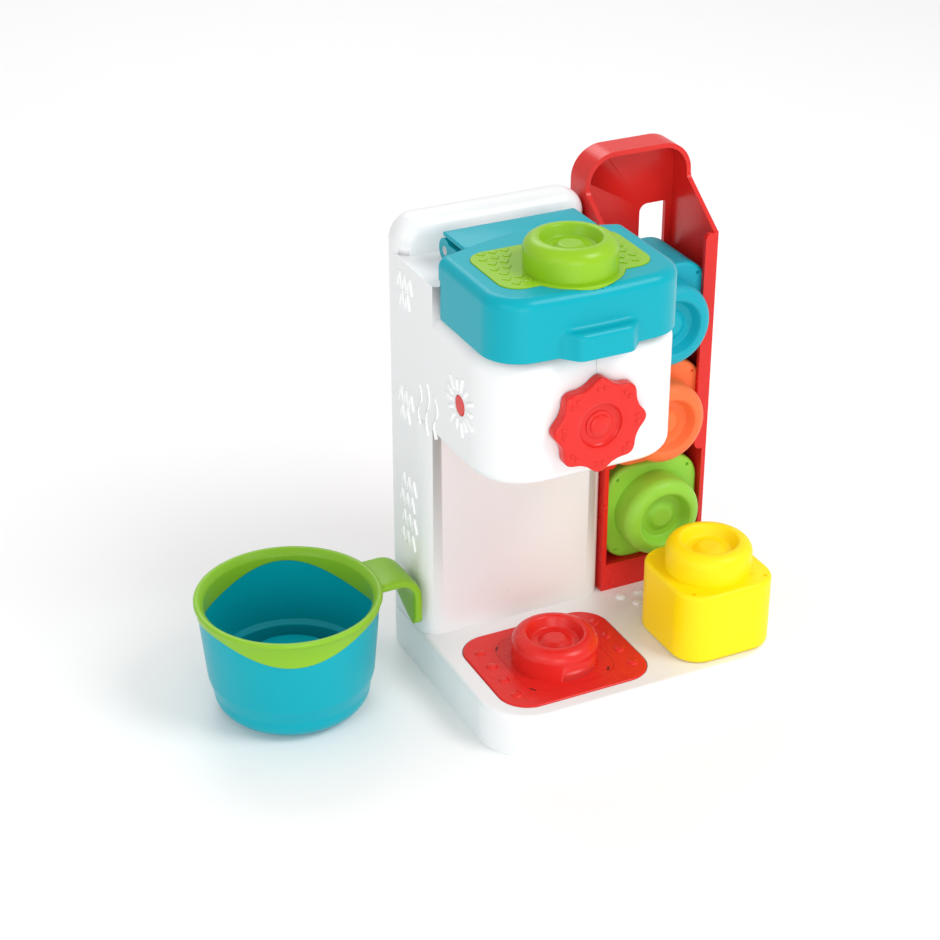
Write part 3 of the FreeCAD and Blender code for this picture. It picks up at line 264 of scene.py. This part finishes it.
# Mesh helpers
def add_piece(mesh, name, body, finish_name, replaces=()):
    """Put a finished mesh into the scene as a piece that rides on a body."""
    piece = bpy.data.objects.new(name, mesh)
    bpy.context.scene.collection.objects.link(piece)
    mesh.materials.clear()
    mesh.materials.append(finish(finish_name))
    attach(piece, body)
    if replaces:
        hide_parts(*replaces)
    return piece


def close_mesh(bm, name, smooth_below=math.radians(32)):
    """Turn a bmesh into a mesh with outward faces, smooth except over sharp edges."""
    bmesh.ops.remove_doubles(bm, verts=bm.verts, dist=1e-6)
    bmesh.ops.recalc_face_normals(bm, faces=bm.faces)
    mesh = bpy.data.meshes.new(name)
    bm.to_mesh(mesh)
    bm.free()
    mesh.shade_smooth()
    mesh.set_sharp_from_angle(angle=smooth_below)
    return mesh


def dress(node, name, body, finish_name):
    """Copy of a CAD node in its place, with its triangles merged, flats joined and even shading."""
    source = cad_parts[node]
    mesh = source.data.copy()
    bm = bmesh.new()
    bm.from_mesh(mesh)
    bmesh.ops.remove_doubles(bm, verts=bm.verts, dist=2e-6)
    bmesh.ops.dissolve_limit(bm, angle_limit=math.radians(0.3), verts=bm.verts, edges=bm.edges)
    bm.to_mesh(mesh)
    bm.free()
    mesh.name = name
    mesh.shade_smooth()
    mesh.set_sharp_from_angle(angle=math.radians(32))
    piece = add_piece(mesh, name, body, finish_name, (node,))
    weigh = piece.modifiers.new("Even shading", "WEIGHTED_NORMAL")
    weigh.keep_sharp = True
    weigh.mode = "FACE_AREA_WITH_ANGLE"
    weigh.weight = 100
    return piece


def skin(bm, rings, close_first=True, close_last=True):
    """A skin through rings of points, all with the same number of points in the same order."""
    steps = len(rings[0])
    ordered = bmesh.ops.create_circle(bm, cap_ends=False, radius=1.0, segments=steps)["verts"]
    for vert, point in zip(ordered, rings[0]):
        vert.co = point
    members = set(ordered)
    loop = [e for e in bm.edges if e.verts[0] in members and e.verts[1] in members]
    first = list(loop)
    for ring in rings[1:]:
        order = {v: i for i, v in enumerate(ordered)}
        out = bmesh.ops.extrude_edge_only(bm, edges=loop)["geom"]
        loop = [g for g in out if isinstance(g, bmesh.types.BMEdge)]
        following = [None] * steps
        for vert in (g for g in out if isinstance(g, bmesh.types.BMVert)):
            old = next(e.other_vert(vert) for e in vert.link_edges if e.other_vert(vert) in order)
            following[order[old]] = vert
        for vert, point in zip(following, ring):
            vert.co = point
        ordered = following
    if close_first:
        bmesh.ops.edgeloop_fill(bm, edges=first)
    if close_last:
        bmesh.ops.edgeloop_fill(bm, edges=loop)


def round_ring(radius, height, shape=None, steps=256):
    """Points of a ring about the Z axis; shape(angle, radius) gives each point's share of the radius."""
    points = []
    for i in range(steps):
        angle = math.tau * i / steps
        reach = radius * (shape(angle, radius) if shape else 1.0)
        points.append(Vector((reach * math.cos(angle), reach * math.sin(angle), height)))
    return points


def arc_points(cx, cz, radius, start, end, count=6):
    """Points on an arc in the profile's plane, angles in degrees."""
    out = []
    for i in range(count + 1):
        angle = math.radians(start + (end - start) * i / count)
        out.append((cx + radius * math.cos(angle), cz + radius * math.sin(angle)))
    return out


def add_stroke(bm, a, b, width, height, up):
    """A raised stroke with soft ends from a to b on a surface whose normal is up."""
    a, b, up = Vector(a), Vector(b), Vector(up).normalized()
    along = b - a
    side = up.cross(along).normalized()
    length = along.length
    made = bmesh.ops.create_cube(bm, size=1.0)["verts"]
    turn = Matrix((along.normalized(), side, up)).transposed().to_4x4()
    shape = Matrix.Diagonal((length + width, width, height * 2, 1.0))
    bmesh.ops.transform(bm, matrix=Matrix.Translation((a + b) / 2) @ turn @ shape, verts=made)
    edges = list({e for v in made for e in v.link_edges})
    bmesh.ops.bevel(bm, geom=edges, offset=min(width, height * 2) * 0.35, offset_type="OFFSET", segments=2,
                    profile=0.5, affect="EDGES", material=-1)


def add_dot(bm, centre, radius, height, up):
    """A low round bump."""
    up = Vector(up).normalized()
    made = bmesh.ops.create_uvsphere(bm, u_segments=20, v_segments=12, radius=1.0)["verts"]
    turn = up.to_track_quat("Z", "Y").to_matrix().to_4x4()
    shape = Matrix.Diagonal((radius, radius, height, 1.0))
    bmesh.ops.transform(bm, matrix=Matrix.Translation(Vector(centre)) @ turn @ shape, verts=made)


class CoffeeMakerPiece:
    """What every operator of this file shares."""

    bl_options = {"REGISTER", "UNDO"}


class OBJECT_OT_coffee_maker_stage(CoffeeMakerPiece, bpy.types.Operator):
    """Add the camera, the lights and the plain floor."""

    bl_idname = "object.coffee_maker_stage"
    bl_label = "Stage"

    def execute(self, context):
        scene = context.scene
        scene.view_settings.view_transform = "Standard"
        lens = bpy.data.cameras.new("Camera")
        lens.lens = CAMERA_LENS
        lens.sensor_width = 36.0
        lens.clip_start = 0.01
        lens.clip_end = 50.0
        camera = bpy.data.objects.new("Camera", lens)
        camera.location = CAMERA_PLACE
        camera.rotation_euler = Vector(CAMERA_AIM).to_track_quat("-Z", "Y").to_euler()
        scene.collection.objects.link(camera)
        scene.camera = camera
        bm = bmesh.new()
        bmesh.ops.create_grid(bm, x_segments=1, y_segments=1, size=6.0)
        mesh = close_mesh(bm, "Floor")
        floor = bpy.data.objects.new("Floor", mesh)
        mesh.materials.append(finish("Pale floor"))
        scene.collection.objects.link(floor)
        world = bpy.data.worlds.new("Studio")
        world.use_nodes = True
        world.node_tree.nodes["Background"].inputs["Color"].default_value = (1.0, 1.0, 1.0, 1.0)
        world.node_tree.nodes["Background"].inputs["Strength"].default_value = 0.68
        scene.world = world
        for name, place, size, power in LAMPS:
            light = bpy.data.lights.new(name, "AREA")
            light.shape = "DISK"
            light.size = size
            light.energy = power
            lamp = bpy.data.objects.new(name, light)
            lamp.location = place
            aim = Vector(LAMP_TARGET) - Vector(place)
            lamp.rotation_euler = aim.to_track_quat("-Z", "Y").to_euler()
            scene.collection.objects.link(lamp)
        return {"FINISHED"}


class OBJECT_OT_coffee_maker_tray(CoffeeMakerPiece, bpy.types.Operator):
    """Dress the tray, its bottom cover, the screws, and the red plate with its stud."""

    bl_idname = "object.coffee_maker_tray"
    bl_label = "Tray and plate"

    def execute(self, context):
        for node, name, slot, look in (
                ("base_tray", "Tray", "white_plastic", "White plastic"),
                ("bottom_cover", "Bottom_cover", "white_plastic", "White plastic"),
                ("cover_screws", "Cover_screws", "screw_steel", "Zinc plated steel"),
                ("stand_screws", "Stand_screws", "screw_steel", "Zinc plated steel"),
                ("cup_plate", "Cup_plate", "red_plastic", "Red plastic"),
                ("cup_stud", "Cup_stud", "red_plastic", "Red plastic")):
            dress(node, name, "stand", look)
        self.make_plate_marks()
        return {"FINISHED"}

    def make_plate_marks(self):
        """Rows of low bumps on the plate, and dark strips of painted shade where the slots sit at the corners
        of the stud's base.
        """
        middle = (STUD_LOW + STUD_HIGH) / 2
        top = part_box("cup_plate")[1][2]
        bm = bmesh.new()
        for x in (-28.8 * MM, 30.0 * MM):
            for y in (-18.4, -6.2, 6.0, 18.2):
                spot = Vector((middle.x + x, middle.y + (y - 0.5) * MM, top))
                add_dot(bm, spot, 2.6 * MM, 0.95 * MM, (0, 0, 1))
        mesh = close_mesh(bm, "Plate_bumps")
        add_piece(mesh, "Plate_bumps", "stand", "Red plastic")
        # Painted shade: dark strips, a hair proud of the plate, stand in for the shade inside its slots
        bm = bmesh.new()
        for x, y, turn in ((-20.5, 17.5, 55), (-20.5, -18.5, -55), (17.5, -18.5, 55), (20.5, 15.5, -55)):
            spot = Vector((middle.x + x * MM, middle.y + y * MM, top - 0.1 * MM))
            reach = Vector((math.cos(math.radians(turn)), math.sin(math.radians(turn)), 0)) * 1.2 * MM
            add_stroke(bm, spot - reach, spot + reach, 1.1 * MM, 0.12 * MM, (0, 0, 1))
        mesh = close_mesh(bm, "Plate_slot_shade")
        add_piece(mesh, "Plate_slot_shade", "stand", "Painted slot shade")


class OBJECT_OT_coffee_maker_housing(CoffeeMakerPiece, bpy.types.Operator):
    """Dress the two halves of the housing, its screws and its side plugs."""

    bl_idname = "object.coffee_maker_housing"
    bl_label = "Housing"

    def execute(self, context):
        for node, name, slot, look in (
                ("housing_left", "Housing_left", "white_plastic", "White plastic"),
                ("housing_right", "Housing_right", "white_plastic", "White plastic"),
                ("housing_screws", "Housing_screws", "screw_steel", "Zinc plated steel"),
                ("side_plug_left", "Side_plug_left", "red_plastic", "Red plastic"),
                ("side_plug_right", "Side_plug_right", "red_plastic", "Red plastic")):
            dress(node, name, "stand", look)
        self.make_side_relief()
        self.make_seam_shade()
        return {"FINISHED"}

    def make_seam_shade(self):
        """Grey hairline of painted shade where the two halves meet, down the head's front and the back."""
        low_corner, high_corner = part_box("housing_left")
        bm = bmesh.new()
        for y, low, high, out in ((low_corner[1], 138.0, 184.0, -1), (high_corner[1], 26.0, 208.0, 1)):
            a = Vector((SEAM, y, low * MM))
            b = Vector((SEAM, y, high * MM))
            add_stroke(bm, a, b, 0.22 * MM, 0.03 * MM, (0, out, 0))
        # A grey strip a hair proud of the white: painted shade along the join
        mesh = close_mesh(bm, "Housing_seam_shade")
        add_piece(mesh, "Housing_seam_shade", "stand", "Painted seam shade")

    def make_side_relief(self):
        """Raised strokes on the left side: peaks in rows, rays round the plug and rising steam, in a white
        painted lighter than the housing's as a highlight.
        """
        relief, width = sizes().relief, sizes().stroke
        out = (-1, 0, 0)
        bm = bmesh.new()

        def spot(y, z):
            return Vector((LEFT_SIDE, y * MM, z * MM))

        for z, count, first in ((191.5, 3, 31), (183.5, 2, 33.5), (136.5, 3, 31), (128.5, 2, 35),
                                (94.0, 3, 29.5), (85.0, 3, 31.5), (75.0, 3, 29.5), (65.0, 3, 31.5)):
            for i in range(count):
                y = first + 5.2 * i
                add_stroke(bm, spot(y - 2.0, z - 2.8), spot(y, z + 3.0), width, relief, out)
                add_stroke(bm, spot(y + 0.2, z + 3.0), spot(y + 2.2, z - 2.8), width, relief, out)
        plug = (PLUG_LOW + PLUG_HIGH) / 2
        for ray in range(14):
            angle = math.tau * ray / 14
            near, far = (7.4, 10.8) if ray % 2 else (8.0, 13.0)
            way = Vector((0, math.cos(angle), math.sin(angle)))
            base = Vector((LEFT_SIDE, plug.y, plug.z))
            add_stroke(bm, base + way * near * MM, base + way * far * MM, width * 1.1, relief, out)
        for y, low, high in ((6.0, 131.0, 149.0), (14.0, 129.0, 153.0), (22.0, 131.0, 149.0)):
            steps = 12
            path = []
            for i in range(steps + 1):
                k = i / steps
                path.append(spot(y + 1.9 * math.sin(k * math.tau), low + (high - low) * k))
            for a, b in zip(path, path[1:]):
                add_stroke(bm, a, b, width * 0.85, relief * 0.8, out)
        mesh = close_mesh(bm, "Side_relief")
        # The strokes take the lighter white: painted highlight
        add_piece(mesh, "Side_relief", "stand", "Raised white with painted highlight")


class OBJECT_OT_coffee_maker_dispenser(CoffeeMakerPiece, bpy.types.Operator):
    """Make the knob with its lobes, and dress the cap, the trough and the bearings."""

    bl_idname = "object.coffee_maker_dispenser"
    bl_label = "Dispenser"

    def execute(self, context):
        self.make_knob()
        self.make_cap()
        dress("dispenser_scoop", "Dispenser_trough", "dispenser", "Red plastic")
        dress("front_bush", "Front_bush", "stand", "Natural plastic")
        dress("bearing_plate", "Bearing_plate", "stand", "Natural plastic")
        return {"FINISHED"}

    @staticmethod
    def face_forwards(bm):
        """Stand a piece that was made face up at the knob's place, its face to the front."""
        stand_up = Matrix.Rotation(math.radians(90), 4, "X")
        place = Matrix.Translation((KNOB_CENTRE.x, KNOB_HIGH.y, KNOB_CENTRE.z))
        bmesh.ops.transform(bm, matrix=place @ stand_up, verts=bm.verts)

    def make_knob(self):
        """Knob with eight soft lobes, a dish in its face and a pair of bumps on each lobe."""
        tip, valley = sizes().knob_tip, sizes().knob_valley
        thick = KNOB_THICKNESS
        edge = 1.3 * MM
        dish = 10.6 * MM
        floor = 9.4 * MM
        depth = KNOB_DISH_DEPTH
        bore = 1.5 * MM

        def lobes(angle, radius):
            """Share of the full radius: lobed outside, round inside."""
            wave = (0.5 + 0.5 * math.cos(KNOB_LOBES * (angle - math.pi / 2))) ** 1.35
            full = (valley + (tip - valley) * wave) / tip
            blend = min(max((radius - dish) / (tip - dish), 0.0), 1.0)
            return 1.0 + (full - 1.0) * blend

        rings = [(bore, 0.0), (tip - edge, 0.0)]
        rings += arc_points(tip - 0.5 * MM, 0.5 * MM, 0.5 * MM, -90, 0, 3)
        rings += arc_points(tip - edge, thick - edge, edge, 0, 90, 6)
        rings += [(dish + (tip - edge - dish) * k, thick) for k in (0.75, 0.5, 0.25)]
        rings += [(dish, thick)]
        rings += [(dish - 0.6 * MM, thick - 0.25 * MM), (floor + 0.2 * MM, thick - depth + 0.5 * MM),
                  (floor - 0.4 * MM, thick - depth), (bore, thick - depth)]
        bm = bmesh.new()
        skin(bm, [round_ring(r, z, lobes) for r, z in rings])
        # A pair of small bumps on each lobe
        bump_reach = 17.2 * MM
        for lobe in range(KNOB_LOBES):
            for off in (-5.0, 5.0):
                angle = math.pi / 2 + math.radians(lobe * 360 / KNOB_LOBES + off)
                spot = Vector((bump_reach * math.cos(angle), bump_reach * math.sin(angle), thick))
                add_dot(bm, spot, 1.0 * MM, 0.65 * MM, (0, 0, 1))
        self.face_forwards(bm)
        mesh = close_mesh(bm, "Knob")
        add_piece(mesh, "Knob", "dispenser", "Red plastic", ("knob",))


    def make_cap(self):
        """Low disc at the bottom of the knob's dish, on a peg that goes down the knob's bore."""
        floor = KNOB_THICKNESS - KNOB_DISH_DEPTH
        # Radius and height over the dish's floor, in millimetres, from the peg's end to the disc's middle
        rings = ((1.4, -5.0), (1.4, 0.02), (5.9, 0.02), (6.2, 0.4), (5.9, 0.6), (5.0, 0.5), (4.6, 0.6),
                 (4.4, 1.2), (3.8, 1.5), (1.0, 1.6))
        bm = bmesh.new()
        skin(bm, [round_ring(r * MM, floor + z * MM, steps=96) for r, z in rings])
        self.face_forwards(bm)
        mesh = close_mesh(bm, "Knob_cap")
        add_piece(mesh, "Knob_cap", "dispenser", "Red plastic", ("knob_cap",))


class OBJECT_OT_coffee_maker_lid(CoffeeMakerPiece, bpy.types.Operator):
    """Dress the lid, its lime insert and the hinge pin."""

    bl_idname = "object.coffee_maker_lid"
    bl_label = "Lid"

    def execute(self, context):
        dress("lid", "Lid", "lid_body", "Teal plastic")
        dress("lid_insert", "Lid_insert", "lid_body", "Lime plastic")
        dress("hinge_pin", "Hinge_pin", "lid_body", "Zinc plated steel")
        self.make_insert_relief()
        self.make_flange()
        return {"FINISHED"}

    def make_flange(self):
        """Thin flange that carries the lid's top back over the housing's knuckle."""
        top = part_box("lid")[1][2]
        pin = (PIN_LOW + PIN_HIGH) / 2
        half = 31.3 * MM
        outer = top - pin.z - 0.15 * MM
        inner = 6.05 * MM
        start = pin.y - 19.0 * MM
        profile = [(start, pin.z + outer)]
        profile += arc_points(pin.y, pin.z, outer, 90, 72, 4)
        profile += arc_points(pin.y, pin.z, inner, 72, 90, 4)
        profile += [(start, pin.z + inner)]
        bm = bmesh.new()
        skin(bm, [[Vector((x, y, z)) for y, z in profile] for x in (pin.x - half, pin.x + half)])
        ends = [e for e in bm.edges if e.calc_face_angle(0.0) > math.radians(40)]
        bmesh.ops.bevel(bm, geom=ends, offset=0.6 * MM, offset_type="OFFSET", segments=3, profile=0.5,
                        affect="EDGES", material=-1)
        mesh = close_mesh(bm, "Lid_flange")
        add_piece(mesh, "Lid_flange", "lid_body", "Teal plastic")

    def make_insert_relief(self):
        """Small raised strokes on the lime plate, either side of its stud."""
        top = INSERT_LOW.z + 2.0 * MM
        stud = Vector(((INSERT_LOW.x + INSERT_HIGH.x) / 2, -28.5 * MM, 0))
        bm = bmesh.new()
        up = (0, 0, 1)
        for side in (-1, 1):
            for row in range(7):
                for column in range(3):
                    x = stud.x + side * (16.5 + 5.4 * column + (1.6 if row % 2 else 0.0)) * MM
                    y = (-36.0 + 5.4 * row) * MM
                    clear = math.hypot(x - stud.x, y - stud.y) > 22.8 * MM
                    inside = abs(x - stud.x) < 31.5 * MM
                    if not (clear and inside):
                        continue
                    low = Vector((x, y, top))
                    add_stroke(bm, low + Vector((-1.6, 1.7, 0)) * MM, low, 1.0 * MM, 0.42 * MM, up)
                    add_stroke(bm, low, low + Vector((1.6, 2.0, 0)) * MM, 1.0 * MM, 0.42 * MM, up)
        mesh = close_mesh(bm, "Insert_relief")
        add_piece(mesh, "Insert_relief", "lid_body", "Lime plastic")


class OBJECT_OT_coffee_maker_chute(CoffeeMakerPiece, bpy.types.Operator):
    """Dress the block chute."""

    bl_idname = "object.coffee_maker_chute"
    bl_label = "Chute"

    def execute(self, context):
        dress("block_chute", "Block_chute", "stand", "Red plastic")
        return {"FINISHED"}


class OBJECT_OT_coffee_maker_blocks(CoffeeMakerPiece, bpy.types.Operator):
    """Dress the four soft blocks."""

    bl_idname = "object.coffee_maker_blocks"
    bl_label = "Blocks"

    def execute(self, context):
        for colour in ("yellow", "green", "orange", "teal"):
            dress(f"block_{colour}", f"Block_{colour}", colour,
                  f"{colour.capitalize()} soft block")
        return {"FINISHED"}


class OBJECT_OT_coffee_maker_mug(CoffeeMakerPiece, bpy.types.Operator):
    """Dress the cup, and make its rim band and hook handle."""

    bl_idname = "object.coffee_maker_mug"
    bl_label = "Mug"

    def execute(self, context):
        dress("mug_cup", "Mug_cup", "mug", "Teal plastic")
        self.make_rim()
        self.make_handle()
        return {"FINISHED"}

    def make_rim(self):
        """Band folded over the cup's edge; its lower edge waves inside and outside."""
        centre = (CUP_LOW + CUP_HIGH) / 2
        top = CUP_HIGH.z + 2.4 * MM
        inner, outer, lip = 37.6 * MM, 40.6 * MM, 42.0 * MM
        wide = 13.0 * MM
        narrow = sizes().rim_narrow
        waves = sizes().rim_waves
        widest = math.radians(-107.0)
        steps = 256

        def low_edge(angle):
            share = 0.5 - 0.5 * math.cos(waves * (angle - widest))
            return top - wide + (wide - narrow) * share

        # The wavy edge as (radius, height over it), and the lip as (radius, millimetres from the top)
        cup_inner, cup_outer = 38.2 * MM, 40.0 * MM
        wavy = ((cup_outer, 0.0), (outer - 0.3 * MM, 0.0), (outer, 0.35 * MM))
        lip_part = [(outer, -2.6), (outer + 0.3 * MM, -2.2), (lip - 0.3 * MM, -1.9), (lip, -1.6), (lip, -0.8),
                    (lip - 0.3 * MM, -0.2), (lip - 0.8 * MM, 0.0), (inner + 2.5 * MM, 0.0),
                    (inner + 1.9 * MM, -0.4), (inner + 0.2 * MM, -2.6), (inner, -3.2)]
        bm = bmesh.new()
        rings = []
        for radius, lift in wavy:
            rings.append([(radius, a, low_edge(a) + lift) for a in self.angles(steps)])
        rings += [[(r, a, top + z * MM) for a in self.angles(steps)] for r, z in lip_part]
        for radius, lift in ((inner, 0.35 * MM), (inner + 0.3 * MM, 0.0), (cup_inner, 0.0)):
            rings.append([(radius, a, low_edge(a) + lift) for a in self.angles(steps)])
        points = [[Vector((centre.x + r * math.cos(a), centre.y + r * math.sin(a), z)) for r, a, z in ring]
                  for ring in rings]
        skin(bm, points, close_first=False, close_last=False)
        mesh = close_mesh(bm, "Mug_rim", math.radians(40))
        add_piece(mesh, "Mug_rim", "mug", "Green plastic", ("mug_rim",))

    @staticmethod
    def angles(steps):
        return [math.tau * i / steps for i in range(steps)]

    def make_handle(self):
        """Flat strap that leaves the rim, bends down and tapers to a tip."""
        centre = (CUP_LOW + CUP_HIGH) / 2
        middle_of_cup = Vector((centre.x, centre.y, 0.0))
        reach, thick, half = 60.6, 4.4, 12.5
        top = 55.9
        bend = 11.5
        middle = bend - thick / 2
        stations = [(40.2, top - thick / 2, 0.0, -half, half)]
        stations.append((44.0, top - thick / 2, 0.0, -half, half))
        for i in range(9):
            angle = 90.0 - 90.0 * i / 8
            r = reach - bend + middle * math.cos(math.radians(angle))
            z = top - bend + middle * math.sin(math.radians(angle))
            stations.append((r, z, 90.0 - angle, -half, half))
        for z, high in ((43.0, half), (41.5, 12.2), (40.2, 11.0), (38.6, 8.6), (36.4, 4.8), (34.2, 0.6),
                        (32.2, -3.4), (31.0, -6.2), (30.4, -8.4)):
            low = -half + max(0.0, (32.4 - z)) * 0.9
            stations.append((reach - thick / 2, z, 90.0, low, high))
        turn = Matrix.Rotation(math.radians(1.5), 3, "Z")
        count = 32
        rings = []
        for r, z, dip, low, high in stations:
            down = math.radians(dip)
            normal = Vector((math.sin(down), 0.0, math.cos(down)))
            ring = []
            for i in range(count):
                angle = math.tau * i / count
                # A superellipse: a rectangle with soft corners
                a = math.copysign(abs(math.cos(angle)) ** 0.32, math.cos(angle))
                b = math.copysign(abs(math.sin(angle)) ** 0.45, math.sin(angle))
                y = (low + high) / 2 + a * (high - low) / 2
                point = Vector((r, y, z)) + normal * (b * thick / 2)
                ring.append(middle_of_cup + turn @ (point * MM))
            rings.append(ring)
        bm = bmesh.new()
        skin(bm, rings)
        mesh = close_mesh(bm, "Mug_handle", math.radians(40))
        add_piece(mesh, "Mug_handle", "mug", "Green plastic")


class VIEW3D_PT_coffee_maker(bpy.types.Panel):
    """Lists the pieces of the coffee maker and their settings."""

    bl_idname = "VIEW3D_PT_coffee_maker"
    bl_label = "Coffee Maker"
    bl_space_type = "VIEW_3D"
    bl_region_type = "UI"
    bl_category = "Coffee Maker"

    def draw(self, context):
        layout = self.layout
        for operator in OPERATORS:
            layout.operator(operator.bl_idname, text=operator.bl_label)
        for settings in (context.scene.coffee_maker_sizes, context.scene.coffee_maker_colours):
            box = layout.box()
            for name in settings.__annotations__:
                box.prop(settings, name)


OPERATORS = (
    OBJECT_OT_coffee_maker_stage,
    OBJECT_OT_coffee_maker_tray,
    OBJECT_OT_coffee_maker_housing,
    OBJECT_OT_coffee_maker_dispenser,
    OBJECT_OT_coffee_maker_lid,
    OBJECT_OT_coffee_maker_chute,
    OBJECT_OT_coffee_maker_blocks,
    OBJECT_OT_coffee_maker_mug,
)
CLASSES = (CoffeeMakerColours, CoffeeMakerSizes, *OPERATORS, VIEW3D_PT_coffee_maker)


def register():
    for item in CLASSES:
        bpy.utils.register_class(item)
    bpy.types.Scene.coffee_maker_colours = bpy.props.PointerProperty(type=CoffeeMakerColours)
    bpy.types.Scene.coffee_maker_sizes = bpy.props.PointerProperty(type=CoffeeMakerSizes)


def unregister():
    del bpy.types.Scene.coffee_maker_sizes
    del bpy.types.Scene.coffee_maker_colours
    for item in reversed(CLASSES):
        bpy.utils.unregister_class(item)


def main():
    register()
    for operator in OPERATORS:
        group, name = operator.bl_idname.split(".")
        getattr(getattr(bpy.ops, group), name)()


if __name__ == "__main__":
    main()
